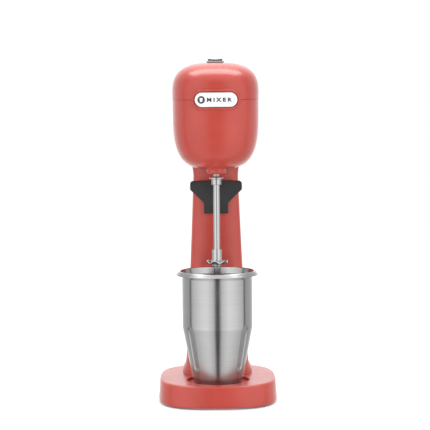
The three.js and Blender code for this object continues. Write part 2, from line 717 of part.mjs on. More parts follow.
// The height of the head's underside straight above a point.
function undersideAt(x, y) {
  const across = (Math.abs(x) / (HEAD_WIDTH / 2)) ** HEAD_PLAN_ROUNDNESS;
  const along = (Math.abs(y - HEAD_SETBACK) / (HEAD_DEPTH / 2)) ** HEAD_PLAN_ROUNDNESS;
  const share = (across + along) ** (1 / HEAD_PLAN_ROUNDNESS);
  return headBeltLow - HEAD_LOWER_HEIGHT * (1 - share ** HEAD_LOWER_ROUNDNESS) ** (1 / HEAD_LOWER_ROUNDNESS);
}

const headBoltSeat = undersideAt(headBoltX + BOLT_HEAD_RADIUS, loomTopY + BOLT_HEAD_RADIUS) + WALL;

function columnCasting() {
  const hollow = columnForm(COLUMN_WALL, baseTop - 2, INNER_SIDES)
    .subtract(headForm(GAP + COLUMN_WALL, INNER_SIDES))
    .subtract(cupRoom(COLUMN_WALL));
  const outside = cutBy(columnForm(0, baseTop + GAP, LARGE_SIDES), [headForm(GAP, LARGE_SIDES), cupRoom(0)]);
  const postTop = baseTop + BOLT_LENGTH;
  const footPosts = columnBoltPlaces.map(([, x, y]) => upright(POST_RADIUS, baseTop + GAP, postTop, x, y));
  const footHoles = columnBoltPlaces.map(([, x, y]) => (
    hole(BOLT_RADIUS + BORE_GAP, baseTop - 1, postTop - WALL, x, y, SMALL_SIDES)));
  const topPosts = leftAndRight((side) => (
    upright(POST_RADIUS, headBoltSeat - headBoltLength - WALL, headBoltSeat + 1, side * headBoltX, loomTopY)));
  const topHoles = leftAndRight((side) => hole(BOLT_RADIUS + BORE_GAP, headBoltSeat - headBoltLength - GAP,
    headBoltSeat + BEYOND, side * headBoltX, loomTopY, SMALL_SIDES));
  const posts = joined([...footPosts, ...topPosts]).intersect(outside);
  return cutBy(outside.subtract(hollow).add(posts), [
    ...footHoles,
    ...topHoles,
    hole(LOOM_HOLE_RADIUS, headBottom - WALL, headTop, 0, loomTopY),
    barAcross(SLIDE_NECK_WIDTH + 2 * SLIDE_PLAY, [holderBack - WALL, plateFront],
      [neckLow - HOLDER_TRAVEL - SLIDE_PLAY, neckHigh + SLIDE_PLAY]),
  ]);
}

// The channel inside the column that keeps the slide upright, with a shelf for its spring.
function holderGuide() {
  const outerWidth = SLIDE_PLATE_WIDTH + 2 * (SLIDE_PLAY + GUIDE_WALL);
  const front = columnFront + COLUMN_WALL + 1.8;
  const back = plateBack + SLIDE_PLAY + GUIDE_WALL;
  const high = slideLow + SLIDE_PLATE_HEIGHT + WALL;
  const channel = barAcross(SLIDE_PLATE_WIDTH + 2 * SLIDE_PLAY, [front - 1, plateBack + SLIDE_PLAY],
    [shelfHigh, high + 1]);
  return cutBy(barAcross(outerWidth, [front, back], [shelfLow, high]), [
    channel,
    hole(PLUNGER_RADIUS + BORE_GAP, shelfLow - 1, shelfHigh + 1, PLUNGER_X, plungerY, SMALL_SIDES),
    barAcross(2 * (SCREW_HEAD_RADIUS + SLIDE_PLAY), [front, back + 1], [
      holderScrewHeights[0] - SCREW_HEAD_RADIUS - HOLDER_TRAVEL - SLIDE_PLAY,
      holderScrewHeights[1] + SCREW_HEAD_RADIUS + SLIDE_PLAY,
    ]),
  ]);
}

const switchHigh = shelfLow - GAP;

function microswitch() {
  const [width, depth, height] = MICROSWITCH_SIZE;
  const y = plungerY;
  const body = box([PLUNGER_X - width / 2 - 2, y - depth / 2, switchHigh - height],
    [PLUNGER_X + width / 2 - 2, y + depth / 2, switchHigh]);
  const tabs = [-6, 0, 6].map((step) => box([PLUNGER_X - 2 + step - 1.5, y - 0.4, switchHigh - height - 5],
    [PLUNGER_X - 2 + step + 1.5, y + 0.4, switchHigh - height + 1]));
  const bore = hole(PLUNGER_RADIUS + BORE_GAP, switchHigh - PLUNGER_SINK - HOLDER_TRAVEL - 1, switchHigh + 1,
    PLUNGER_X, y, SMALL_SIDES);
  return joined([body, ...tabs]).subtract(bore);
}

function wiringLoom() {
  const terminalY = rearPostY - TERMINAL_SIZE[1] / 2 - POST_RADIUS - 2;
  const start = plateHigh + GAP + TERMINAL_SIZE[2] + LOOM_RADIUS;
  const middle = (baseTop + headBottom) / 2;
  const path = new THREE.CatmullRomCurve3([
    new THREE.Vector3(0, terminalY + 4, start),
    new THREE.Vector3(0, loomFootY, baseTop),
    new THREE.Vector3(0, (loomFootY + loomTopY) / 2, middle),
    new THREE.Vector3(0, loomTopY, headBottom - BOLT_LENGTH),
    new THREE.Vector3(0, loomTopY, headBoltSeat + WALL),
  ]);
  const round = new THREE.Shape();
  round.absarc(0, 0, LOOM_RADIUS, 0, 2 * Math.PI);
  const settings = { steps: 14, extrudePath: path, curveSegments: 4 };
  return solidOf(new THREE.ExtrudeGeometry(round, settings));
}

place(column, 'column_casting', columnCasting(), 'paint');
place(column, 'holder_guide', holderGuide(), 'whitePlastic');
place(column, 'microswitch', microswitch(), 'blackPlastic');
place(column, 'wiring_loom', wiringLoom(), 'rubber');
columnBoltPlaces.forEach(([name, x, y]) => {
  const bolt = socketBolt(BOLT_RADIUS, BOLT_HEAD_RADIUS, BOLT_HEAD_HEIGHT, BOLT_LENGTH);
  place(column, `column_bolt_${name}`, bolt, 'zinc', [x, y, boltHeadHigh - BOLT_HEAD_HEIGHT]);
});

// ---- Head ------------------------------------------------------------------------------------

const head = new THREE.Group();
machine.add(head);

const bearingSeat = BEARING_RADIUS + GAP / 2;

function nose() {
  const low = noseBottom;
  return turned([[0, low], [NOSE_RADIUS * 0.7, low], [NOSE_RADIUS * 0.9, low + 1.4],
    [NOSE_RADIUS, low + 4.2], [NOSE_RADIUS, headBottom + WALL], [0, headBottom + WALL]], INNER_SIDES);
}

function capScrewPlaces(make) {
  return leftAndRight((side) => make(side * CAP_SCREW_X));
}

const capScrewHeight = seam - CAP_SCREW_DROP;
const capScrewShare = (1 - (CAP_SCREW_X / (HEAD_WIDTH / 2)) ** HEAD_PLAN_ROUNDNESS) ** (1 / HEAD_PLAN_ROUNDNESS);
const capScrewFace = HEAD_SETBACK + (HEAD_DEPTH / 2) * capScrewShare - 1.2;
const capScrewLength = 14;

function motorHousing() {
  const inside = headForm(-WALL, INNER_SIDES);
  const lower = headForm(0, LARGE_SIDES).add(badgeBoss()).intersect(slab(0, seam));
  const stackSeat = stackBottom - GAP;
  const fittings = joined([
    upright(bearingSeat + WALL, headBottom + 1, lowerBearing + BEARING_HEIGHT),
    ...leftAndRight((side) => (
      upright(MOTOR_POST_RADIUS, headBottom + 1, stackSeat, side * MOTOR_BOLT_X, 0, SMALL_SIDES))),
    ...leftAndRight((side) => (
      upright(BOLT_HEAD_RADIUS + 1.5, headBottom + 1, headBoltSeat - 0.5, side * headBoltX, loomTopY))),
  ]).intersect(headForm(-1, INNER_SIDES));
  return cutBy(joined([lower.subtract(inside), nose(), fittings]), [
    hole(SEAL_RADIUS + GAP / 2, noseBottom - 1, noseBottom + SEAL_HEIGHT + 2 * GAP),
    hole(SHAFT_RADIUS + 1, noseBottom, headBottom + BEYOND / 3),
    hole(bearingSeat, lowerBearing - GAP, lowerBearing + BEARING_HEIGHT + 1),
    ...leftAndRight((side) => hole(MOTOR_BOLT_RADIUS + BORE_GAP, stackSeat - 8, stackSeat + 1,
      side * MOTOR_BOLT_X, 0, SMALL_SIDES)),
    ...leftAndRight((side) => hole(BOLT_RADIUS + BORE_GAP, headBottom, headBoltSeat + 1,
      side * headBoltX, loomTopY, SMALL_SIDES)),
    hole(LOOM_HOLE_RADIUS, headBottom - 1, headBeltLow, 0, loomTopY),
    ...leftAndRight((side) => hole(BOLT_HEAD_RADIUS + BORE_GAP, headBoltSeat - 0.5, headBeltLow,
      side * headBoltX, loomTopY, SMALL_SIDES)),
    badgePocket(),
    ...capScrewPlaces((x) => lengthwise(SCREW_RADIUS + BORE_GAP, HEAD_SETBACK, capScrewFace, x, capScrewHeight)),
    ...capScrewPlaces((x) => lengthwise(SCREW_HEAD_RADIUS + BORE_GAP,
      capScrewFace - SCREW_HEAD_HEIGHT, capScrewFace + BEYOND / 2, x, capScrewHeight)),
  ]);
}

// The ring inside the cap that drops into the motor housing.
function capLip() {
  const reach = -WALL - GAP;
  const inside = headForm(reach - LIP_THICKNESS, INNER_SIDES);
  const dropped = headForm(reach, INNER_SIDES).intersect(slab(seam - LIP_DEPTH, seam + 2));
  const rooted = headForm(-WALL / 2, INNER_SIDES).intersect(slab(seam + GAP, seam + 2.5));
  return dropped.add(rooted).subtract(inside);
}

function capTab(x) {
  const half = CAP_TAB_WIDTH / 2;
  const front = capScrewFace - 12;
  const low = [x - half, front, seam - CAP_TAB_DROP];
  const high = [x + half, front + BEYOND / 2, seam + 8];
  const hung = box(low, high).intersect(headForm(-WALL - GAP, INNER_SIDES));
  const rooted = box([low[0], front, seam + GAP], high).intersect(headForm(-WALL / 2, INNER_SIDES));
  return hung.add(rooted);
}

function topCap() {
  const outside = headForm(CAP_PROUD, LARGE_SIDES).add(badgeBoss()).intersect(slab(seam + GAP, headTop + BEYOND));
  const skin = outside.subtract(headForm(-WALL, INNER_SIDES));
  const ventLow = seam + VENT_RISE;
  const vents = [];
  for (let i = 0; i < VENT_COUNT; i += 1) {
    const y = HEAD_SETBACK + i * VENT_PITCH;
    leftAndRight((side) => vents.push(box(
      [side * (HEAD_WIDTH / 2) - 14, y, ventLow],
      [side * (HEAD_WIDTH / 2) + 14, y + VENT_WIDTH, ventLow + VENT_HEIGHT])));
  }
  return cutBy(joined([skin, capLip(), ...capScrewPlaces(capTab)]), [
    badgePocket(),
    ...vents,
    ...capScrewPlaces((x) => lengthwise(SCREW_RADIUS + BORE_GAP, capScrewFace - capScrewLength,
      capScrewFace + 1, x, capScrewHeight)),
    box([-switchBodyWidth / 2 - GAP, HEAD_SETBACK - switchBodyDepth / 2 - GAP, headTop - SWITCH_BODY_DEPTH],
      [switchBodyWidth / 2 + GAP, HEAD_SETBACK + switchBodyDepth / 2 + GAP, headTop + BEYOND]),
  ]);
}

// ---- Speed switch ----------------------------------------------------------------------------

const switchBodyWidth = SWITCH_WIDTH - 2.6;
const switchBodyDepth = SWITCH_DEPTH - 4.6;
const frameLow = headTop + CAP_PROUD + GAP;
const frameHigh = frameLow + SWITCH_FRAME_HEIGHT;
const rockerRoomWidth = SWITCH_WIDTH - 2 * SWITCH_RIM;
const rockerDepth = SWITCH_DEPTH - 9;
const pivotHeight = frameHigh - 3.8;

function switchBody() {
  const frame = plan(roundedRectangle(SWITCH_WIDTH, SWITCH_DEPTH, 2), frameLow, frameHigh);
  const body = barAcross(switchBodyWidth, [-switchBodyDepth / 2, switchBodyDepth / 2],
    [headTop - SWITCH_BODY_DEPTH, frameLow + 1]);
  const room = barAcross(rockerRoomWidth, [-rockerDepth / 2 - GAP, rockerDepth / 2 + GAP],
    [pivotHeight - ROCKER_DEPTH - 2, frameHigh + 1]);
  const tabs = [-7, 0, 7].map((x) => box([x - 1.5, -0.4, headTop - SWITCH_BODY_DEPTH - 5],
    [x + 1.5, 0.4, headTop - SWITCH_BODY_DEPTH + 1]));
  return joined([frame, body, ...tabs]).subtract(room);
}

// The rocker, drawn from the front: raised at both ends and dipped in the middle.
function rocker() {
  const half = rockerRoomWidth / 2 - ROCKER_ROOM;
  const top = frameHigh + ROCKER_PROUD;
  const shape = new THREE.Shape();
  shape.moveTo(-half, pivotHeight - 1);
  shape.lineTo(-half / 2, pivotHeight - ROCKER_DEPTH);
  shape.lineTo(half / 2, pivotHeight - ROCKER_DEPTH);
  shape.lineTo(half, pivotHeight - 1);
  shape.lineTo(half - 0.4, top);
  shape.quadraticCurveTo(0, top - 2 * ROCKER_DIP, 0.4 - half, top);
  shape.closePath();
  return frontal(shape, -rockerDepth / 2, rockerDepth / 2);
}

place(head, 'motor_housing', motorHousing(), 'paint');
place(head, 'top_cap', topCap(), 'paint');
place(head, 'name_plate', namePlate(), 'plate');
place(head, 'switch_body', switchBody(), 'greyPlastic', [0, HEAD_SETBACK, 0]);
place(head, 'speed_rocker', rocker(), 'blackPlastic', [0, HEAD_SETBACK, 0]);
leftAndRight((side) => {
  const name = side < 0 ? 'left' : 'right';
  const bolt = socketBolt(BOLT_RADIUS, BOLT_HEAD_RADIUS, BOLT_HEAD_HEIGHT, headBoltLength + BOLT_HEAD_HEIGHT - 2);
  place(head, `head_bolt_${name}`, bolt.rotate([180, 0, 0]), 'zinc',
    [side * headBoltX, loomTopY, headBoltSeat + BOLT_HEAD_HEIGHT - 0.2]);
  const fixing = screw(SCREW_RADIUS, SCREW_HEAD_RADIUS, SCREW_HEAD_HEIGHT - GAP, capScrewLength - 2);
  place(head, `cap_screw_${name}`, fixing.rotate([90, 0, 0]), 'zinc',
    [side * CAP_SCREW_X, capScrewFace, capScrewHeight]);
});

// ---- Motor -----------------------------------------------------------------------------------

const motor = new THREE.Group();
machine.add(motor);

function bearing(low) {
  const high = low + BEARING_HEIGHT;
  const inner = SHAFT_RADIUS + RUNNING;
  const bore = inner / Math.cos(Math.PI / ROUND_SIDES);
  const outer = BEARING_RADIUS - 2.2;
  return turned([[bore, low], [inner + 1.8, low], [inner + 1.8, low + 0.6], [outer, low + 0.6], [outer, low],
    [BEARING_RADIUS, low], [BEARING_RADIUS, high], [outer, high], [outer, high - 0.6],
    [inner + 1.8, high - 0.6], [inner + 1.8, high], [bore, high], [bore, low]]);
}

function shaftSeal() {
  const low = noseBottom + GAP;
  const bore = (SHAFT_RADIUS + RUNNING) / Math.cos(Math.PI / ROUND_SIDES);
  return turned([[bore, low + 1.5], [bore + 1.6, low], [SEAL_RADIUS, low], [SEAL_RADIUS, low + SEAL_HEIGHT],
    [bore, low + SEAL_HEIGHT], [bore, low + 1.5]]);
}

function eachPole(make) {
  return [-1, 1].flatMap((pole) => [-1, 1].map((side) => make(pole, side)));
}

function spanBetween(a, b) {
  return [Math.min(a, b), Math.max(a, b)];
}

function statorCore() {
  const stack = plan(roundedRectangle(STACK_WIDTH, STACK_DEPTH, STACK_CORNER), stackBottom, stackTop);
  const slots = eachPole((pole, side) => {
    const x = spanBetween(side * (COIL_INNER - GAP), side * (COIL_OUTER + GAP));
    const y = spanBetween(pole * (COIL_NEAR - GAP), pole * (COIL_FAR + GAP));
    return box([x[0], y[0], stackBottom - 1], [x[1], y[1], stackTop + 1]);
  });
  return cutBy(stack, [
    hole(ARMATURE_RADIUS + AIR_GAP, stackBottom - 1, stackTop + 1, 0, 0, INNER_SIDES),
    ...slots,
    ...leftAndRight((side) => (
      hole(MOTOR_BOLT_RADIUS + BORE_GAP, stackBottom - 1, stackTop + 1, side * MOTOR_BOLT_X, 0, SMALL_SIDES))),
  ]);
}

function fieldCoil(pole) {
  const y = spanBetween(pole * COIL_NEAR, pole * COIL_FAR);
  const outer = barAcross(2 * COIL_OUTER, y, [stackBottom - COIL_END, stackTop + COIL_END]);
  const inner = barAcross(2 * COIL_INNER, [y[0] - 1, y[1] + 1], [stackBottom - GAP, stackTop + GAP]);
  return outer.subtract(inner);
}

function upperBracket() {
  const legHigh = bracketTop - 1;
  const plateY = BRUSH_HOLDER_LENGTH + COMMUTATOR_RADIUS;
  const parts = [
    barAcross(2 * (MOTOR_BOLT_X + 4), [-9, 9], [bracketBottom, bracketTop]),
    barAcross(16, [-plateY, plateY], [bracketBottom, bracketTop]),
    upright(bearingSeat + WALL, bracketBottom, bracketTop + BEARING_HEIGHT + 1),
    ...leftAndRight((side) => {
      const x = spanBetween(side * (MOTOR_BOLT_X - 4), side * (MOTOR_BOLT_X + 4));
      return box([x[0], -7, stackTop + GAP], [x[1], 7, legHigh]);
    }),
  ];
  return cutBy(joined(parts), [
    hole(SHAFT_RADIUS + 1, bracketBottom - 1, bracketTop + BEYOND / 3),
    hole(bearingSeat, bracketTop, bracketTop + BEYOND / 3),
    ...leftAndRight((side) => (
      hole(MOTOR_BOLT_RADIUS + BORE_GAP, stackTop, bracketTop + 1, side * MOTOR_BOLT_X, 0, SMALL_SIDES))),
  ]);
}

const upperBearing = bracketTop + GAP;

function brushHolder(side) {
  const half = BRUSH_SIZE / 2 + GAP + BRUSH_HOLDER_WALL;
  const y = spanBetween(side * (COMMUTATOR_RADIUS + 2), side * (COMMUTATOR_RADIUS + 2 + BRUSH_HOLDER_LENGTH));
  const low = commutatorMiddle - half;
  const outer = barAcross(2 * half, y, [low, bracketBottom - GAP]);
  const room = BRUSH_SIZE / 2 + GAP;
  return outer.subtract(barAcross(2 * room, [y[0] - 1, y[1] + 1], [commutatorMiddle - room, commutatorMiddle + room]));
}

function brush(side) {
  const y = spanBetween(side * (COMMUTATOR_RADIUS + GAP), side * (COMMUTATOR_RADIUS + GAP + BRUSH_LENGTH));
  const half = BRUSH_SIZE / 2;
  return barAcross(BRUSH_SIZE, y, [commutatorMiddle - half, commutatorMiddle + half]);
}

function capacitor() {
  const [width, depth, height] = CAPACITOR_SIZE;
  const shape = roundedRectangle(width, depth, 2.5);
  return plan(shape, 0, height, 3);
}

const motorBoltLength = bracketTop + MOTOR_BOLT_HEAD_HEIGHT + 2 * GAP - (stackBottom - 6);

place(motor, 'lower_bearing', bearing(lowerBearing), 'polished');
place(motor, 'upper_bearing', bearing(upperBearing), 'polished');
place(motor, 'shaft_seal', shaftSeal(), 'rubber');
place(motor, 'stator_core', statorCore(), 'lamination');
place(motor, 'field_coil_front', fieldCoil(-1), 'copper');
place(motor, 'field_coil_rear', fieldCoil(1), 'copper');
place(motor, 'motor_bracket', upperBracket(), 'brushed');
place(motor, 'brush_holder_front', brushHolder(-1), 'blackPlastic');
place(motor, 'brush_holder_rear', brushHolder(1), 'blackPlastic');
place(motor, 'carbon_brush_front', brush(-1), 'carbon');
place(motor, 'carbon_brush_rear', brush(1), 'carbon');
place(motor, 'capacitor', capacitor(), 'whitePlastic', [0, loomTopY, headBoltSeat + 12]);
leftAndRight((side) => {
  const name = side < 0 ? 'left' : 'right';
  const bolt = socketBolt(MOTOR_BOLT_RADIUS, MOTOR_BOLT_HEAD_RADIUS, MOTOR_BOLT_HEAD_HEIGHT, motorBoltLength);
  place(motor, `motor_bolt_${name}`, bolt.rotate([180, 0, 0]), 'zinc',
    [side * MOTOR_BOLT_X, 0, bracketTop + MOTOR_BOLT_HEAD_HEIGHT + GAP]);
});

// ---- Rotor and spindle -----------------------------------------------------------------------

const rotor = new THREE.Group();
machine.add(rotor);

const shaftFit = SHAFT_RADIUS + GAP;
const rodFit = ROD_RADIUS + GAP;
const shaftLow = nutTop - NUT_HEIGHT / 2 + GAP;
const shaftHigh = upperBearing + BEARING_HEIGHT + 1;

function armatureSlots(width, depthShare, low, high) {
  const bars = [];
  for (let i = 0; i < SLOT_COUNT; i += 1) {
    const inner = ARMATURE_RADIUS - SLOT_DEPTH * depthShare;
    const bar = box([inner, -width / 2, low], [ARMATURE_RADIUS + 2, width / 2, high]);
    bars.push(bar.rotate([0, 0, (360 * (i + 0.5)) / SLOT_COUNT]));
  }
  return bars;
}

function armatureCore() {
  const stack = upright(ARMATURE_RADIUS, stackBottom, stackTop, 0, 0, ROUND_SIDES);
  return cutBy(stack, [
    hole(shaftFit, stackBottom - 1, stackTop + 1),
    ...armatureSlots(SLOT_WIDTH, 1, stackBottom - 1, stackTop + 1),
  ]);
}

// The armature's winding: a bundle above and below the core, joined through its slots.
function armatureWinding() {
  const low = stackBottom - WINDING_END;
  const high = stackTop + WINDING_END;
  const bars = joined(armatureSlots(SLOT_WIDTH - 2 * GAP, 1 - GAP / SLOT_DEPTH, low + 1, high - 1))
    .intersect(upright(ARMATURE_RADIUS - 1, low, high));
  const bundle = (from, to) => ring(shaftFit, WINDING_RADIUS, from, to);
  return joined([bars, bundle(low, stackBottom - GAP), bundle(stackTop + GAP, high)]);
}

function coolingFan() {
  const high = stackBottom - WINDING_END - 3;
  const low = high - FAN_HEIGHT;
  const blades = [];
  for (let i = 0; i < FAN_BLADES; i += 1) {
    const blade = box([HUB_RADIUS + 1, -0.8, low + 1], [FAN_RADIUS - 1, 0.8, high]);
    blades.push(blade.rotate([0, 0, (360 * i) / FAN_BLADES]));
  }
  const disc = upright(FAN_RADIUS, low, low + 1.6, 0, 0, ROUND_SIDES);
  return joined([disc, upright(HUB_RADIUS + 2, low, high), ...blades]).subtract(hole(shaftFit, low - 1, high + 1));
}

function couplingNut() {
  const flangeLow = nutTop - NUT_FLANGE_HEIGHT;
  const [rodBore, shaftBore] = [rodFit, shaftFit].map((fit) => fit / Math.cos(Math.PI / ROUND_SIDES));
  const step = rodTop + GAP;
  return turned([[rodBore, nutBottom], [NUT_RADIUS - 0.8, nutBottom], [NUT_RADIUS, nutBottom + 0.8],
    [NUT_RADIUS, flangeLow], [NUT_FLANGE_RADIUS, flangeLow + 0.5], [NUT_FLANGE_RADIUS, nutTop - 0.5],
    [NUT_FLANGE_RADIUS - 0.5, nutTop], [shaftBore, nutTop], [shaftBore, step], [rodBore, step], [rodBore, nutBottom]]);
}

// A wavy disc on a hub.
function agitator(top, hubLow, hubHigh) {
  const sides = AGITATOR_LOBES * 4;
  const ringAt = (radius, wave, z) => {
    const points = [];
    for (let i = 0; i < sides; i += 1) {
      const turn = (2 * Math.PI * i) / sides;
      const rise = (AGITATOR_WAVE / 2) * wave * (Math.sin(AGITATOR_LOBES * turn) - 1);
      points.push([radius * Math.cos(turn), radius * Math.sin(turn), z + rise]);
    }
    return points;
  };
  const low = top - AGITATOR_THICKNESS;
  const dish = 1.4;
  const disc = loft([
    ringAt(HUB_RADIUS - 1.5, 0, low - AGITATOR_WAVE - dish),
    ringAt(AGITATOR_RADIUS, 1, low),
    ringAt(AGITATOR_RADIUS, 1, top),
    ringAt(HUB_RADIUS - 1.5, 0, top - AGITATOR_WAVE - dish),
  ]);
  const hub = upright(HUB_RADIUS, hubLow, hubHigh);
  return disc.add(hub).subtract(hole(rodFit, hubLow - 1, hubHigh + 1));
}

const lowerAgitatorTop = agitatorTop - LOWER_AGITATOR_SPACING;

place(rotor, 'motor_shaft', upright(SHAFT_RADIUS, shaftLow, shaftHigh), 'polished');
place(rotor, 'armature_core', armatureCore(), 'lamination');
place(rotor, 'armature_winding', armatureWinding(), 'copper');
place(rotor, 'commutator',
  ring(shaftFit, COMMUTATOR_RADIUS, commutatorBottom, commutatorBottom + COMMUTATOR_HEIGHT), 'copper');
place(rotor, 'cooling_fan', coolingFan(), 'blackPlastic');
place(rotor, 'coupling_nut', couplingNut(), 'polished');
place(rotor, 'spindle_rod', turned([[0, rodTop - ROD_LENGTH], [ROD_RADIUS - 1, rodTop - ROD_LENGTH],
  [ROD_RADIUS, rodTop - ROD_LENGTH + 1], [ROD_RADIUS, rodTop], [0, rodTop]]), 'polished');
place(rotor, 'upper_agitator',
  agitator(agitatorTop, agitatorTop - 9, agitatorTop - 9 + UPPER_HUB_HEIGHT), 'polished');
place(rotor, 'lower_agitator',
  agitator(lowerAgitatorTop, lowerAgitatorTop - 6, lowerAgitatorTop - 6 + LOWER_HUB_HEIGHT), 'polished');

// ---- Cup -------------------------------------------------------------------------------------

const cup = new THREE.Group();
cup.position.set(0, 0, cupFloor);
machine.add(cup);

function cupShell() {
  const shoulder = CUP_HEIGHT - 10;
  const crown = CUP_RADIUS + 3.7;
  const edge = CUP_RADIUS + CUP_FLANGE_WIDTH;
  const wall = CUP_WALL;
  const inner = (radius) => radius - wall;
  return turned([
    [0, 1.2], [CUP_BOTTOM_RADIUS - 7, 1.2], [CUP_BOTTOM_RADIUS - 5.5, 0], [CUP_BOTTOM_RADIUS - 2.2, 0],
    [CUP_BOTTOM_RADIUS, 2.4], [CUP_RADIUS, CUP_TAPER_HEIGHT], [CUP_RADIUS, shoulder],
    [crown - 0.8, CUP_HEIGHT - wall * 1.6], [edge - wall, CUP_HEIGHT - CUP_FLANGE_DROP - wall * 0.4],
    [edge, CUP_HEIGHT - CUP_FLANGE_DROP + wall * 0.4], [crown, CUP_HEIGHT], [crown - 1.4, CUP_HEIGHT - 0.4],
    [inner(CUP_RADIUS), shoulder + 0.3], [inner(CUP_RADIUS), CUP_TAPER_HEIGHT],
    [inner(CUP_BOTTOM_RADIUS), 3.2], [CUP_BOTTOM_RADIUS - 3, 1 + wall], [CUP_BOTTOM_RADIUS - 6, 2 + wall],
    [0, 2 + wall],
  ], LARGE_SIDES);
}

// A rounded bar laid into the tapered wall, as deep as its depth and as thick as its radius.
function fluteBar(radius, angle) {
  const slope = (CUP_RADIUS - CUP_BOTTOM_RADIUS) / (CUP_TAPER_HEIGHT - 2.4);
  const middle = (FLUTE_LOW + FLUTE_HIGH) / 2;
  const wallRadius = CUP_BOTTOM_RADIUS + slope * (middle - 2.4);
  const geometry = new THREE.CapsuleGeometry(radius, FLUTE_HIGH - FLUTE_LOW - 2 * FLUTE_RADIUS, 4, 16);
  geometry.rotateX(Math.PI / 2);
  geometry.rotateY(Math.atan(slope));
  geometry.translate(wallRadius + FLUTE_RADIUS - FLUTE_DEPTH, 0, middle);
  geometry.rotateZ(angle);
  return solidOf(geometry);
}

function mixingCup() {
  const room = turned([[0, 1], [CUP_BOTTOM_RADIUS - 1, 1], [CUP_BOTTOM_RADIUS - 0.3, 2.4],
    [CUP_RADIUS - 0.3, CUP_TAPER_HEIGHT], [0, CUP_TAPER_HEIGHT]], LARGE_SIDES);
  const angles = [FLUTE_TURN, Math.PI - FLUTE_TURN, Math.PI + FLUTE_TURN, -FLUTE_TURN];
  const ridges = joined(angles.map((angle) => fluteBar(FLUTE_RADIUS + CUP_WALL, angle))).intersect(room);
  return cutBy(cupShell().add(ridges), angles.map((angle) => fluteBar(FLUTE_RADIUS, angle)));
}

place(cup, 'mixing_cup', mixingCup(), 'brushed');

// ---- Cup holder ------------------------------------------------------------------------------

const holder = new THREE.Group();
machine.add(holder);

function holderOutline() {
  const wing = HOLDER_WIDTH / 2;
  const stem = HOLDER_STEM_WIDTH / 2;
  const wingLow = holderTop - HOLDER_WING_HEIGHT;
  const stemHigh = wingLow - HOLDER_SLANT_HEIGHT;
  const shape = new THREE.Shape();
  shape.moveTo(-stem, holderBottom);
  shape.lineTo(stem, holderBottom);
  shape.lineTo(stem, stemHigh);
  shape.lineTo(wing - 2, wingLow - 2);
  shape.quadraticCurveTo(wing, wingLow, wing, wingLow + 2.4);
  shape.lineTo(wing, holderTop - HOLDER_CORNER);
  shape.absarc(wing - HOLDER_CORNER, holderTop - HOLDER_CORNER, HOLDER_CORNER, 0, Math.PI / 2);
  shape.absarc(HOLDER_CORNER - wing, holderTop - HOLDER_CORNER, HOLDER_CORNER, Math.PI / 2, Math.PI);
  shape.lineTo(-wing, wingLow + 2.4);
  shape.quadraticCurveTo(-wing, wingLow, 2 - wing, wingLow - 2);
  shape.lineTo(-stem, stemHigh);
  shape.closePath();
  return shape;
}

function cupHolder() {
  const low = holderBottom - 1;
  const high = holderTop + 1;
  const arc = ring(holderRadius, holderBack, low, high, LARGE_SIDES);
  const stem = barAcross(HOLDER_STEM_WIDTH, [holderRadius / 2, holderBack], [low, high])
    .subtract(hole(holderRadius, low - 1, high + 1, 0, 0, LARGE_SIDES));
  const front = frontal(holderOutline(), 0, holderBack + 1, 4);
  const screwHoles = holderScrewHeights.map((z) => (
    lengthwise(SCREW_RADIUS + BORE_GAP, holderBack - 3.4, holderBack + 1, 0, z)));
  return cutBy(arc.add(stem).intersect(front), screwHoles);
}

function holderSlide() {
  const neck = barAcross(SLIDE_NECK_WIDTH, [holderBack + GAP, plateFront + 1], [neckLow, neckHigh]);
  const plate = barAcross(SLIDE_PLATE_WIDTH, [plateFront, plateBack], [slideLow, slideLow + SLIDE_PLATE_HEIGHT]);
  return cutBy(neck.add(plate), holderScrewHeights.map((z) => (
    lengthwise(SCREW_RADIUS + BORE_GAP, holderBack - 1, plateBack + 1, 0, z))));
}

function holderSpring() {
  const low = shelfHigh + SPRING_WIRE_RADIUS + GAP;
  const high = slideLow - SPRING_WIRE_RADIUS - GAP;
  const steps = SPRING_TURNS * 8;
  const points = [];
  for (let i = 0; i <= steps; i += 1) {
    const turn = (2 * Math.PI * SPRING_TURNS * i) / steps;
    const z = low + ((high - low) * i) / steps;
    points.push(new THREE.Vector3(SPRING_RADIUS * Math.cos(turn), SPRING_RADIUS * Math.sin(turn), z));
  }
  const wire = new THREE.Shape();
  wire.absarc(0, 0, SPRING_WIRE_RADIUS, 0, 2 * Math.PI);
  const settings = { steps, extrudePath: new THREE.CatmullRomCurve3(points), curveSegments: 3 };
  return solidOf(new THREE.ExtrudeGeometry(wire, settings));
}

place(holder, 'cup_holder', cupHolder(), 'blackPlastic');
place(holder, 'holder_slide', holderSlide(), 'brushed');
place(holder, 'holder_spring', holderSpring(), 'zinc', [SPRING_X, plateFront + SLIDE_PLATE_THICKNESS / 2 - 0.6, 0]);
place(holder, 'switch_plunger',
  upright(PLUNGER_RADIUS, switchHigh - PLUNGER_SINK, slideLow - GAP, 0, 0, SMALL_SIDES), 'whitePlastic',
  [PLUNGER_X, plungerY, 0]);
['lower', 'upper'].forEach((name, i) => {
  const fixing = screw(SCREW_RADIUS, SCREW_HEAD_RADIUS, SCREW_HEAD_HEIGHT, SCREW_LENGTH - 0.5);
  place(holder, `holder_screw_${name}`, fixing.rotate([90, 0, 0]), 'zinc',
    [0, plateBack + SCREW_HEAD_HEIGHT + GAP, holderScrewHeights[i]]);
});

export default mixer;
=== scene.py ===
import json
import math

import bmesh
import bpy
import numpy as np
from mathutils import Matrix, Vector


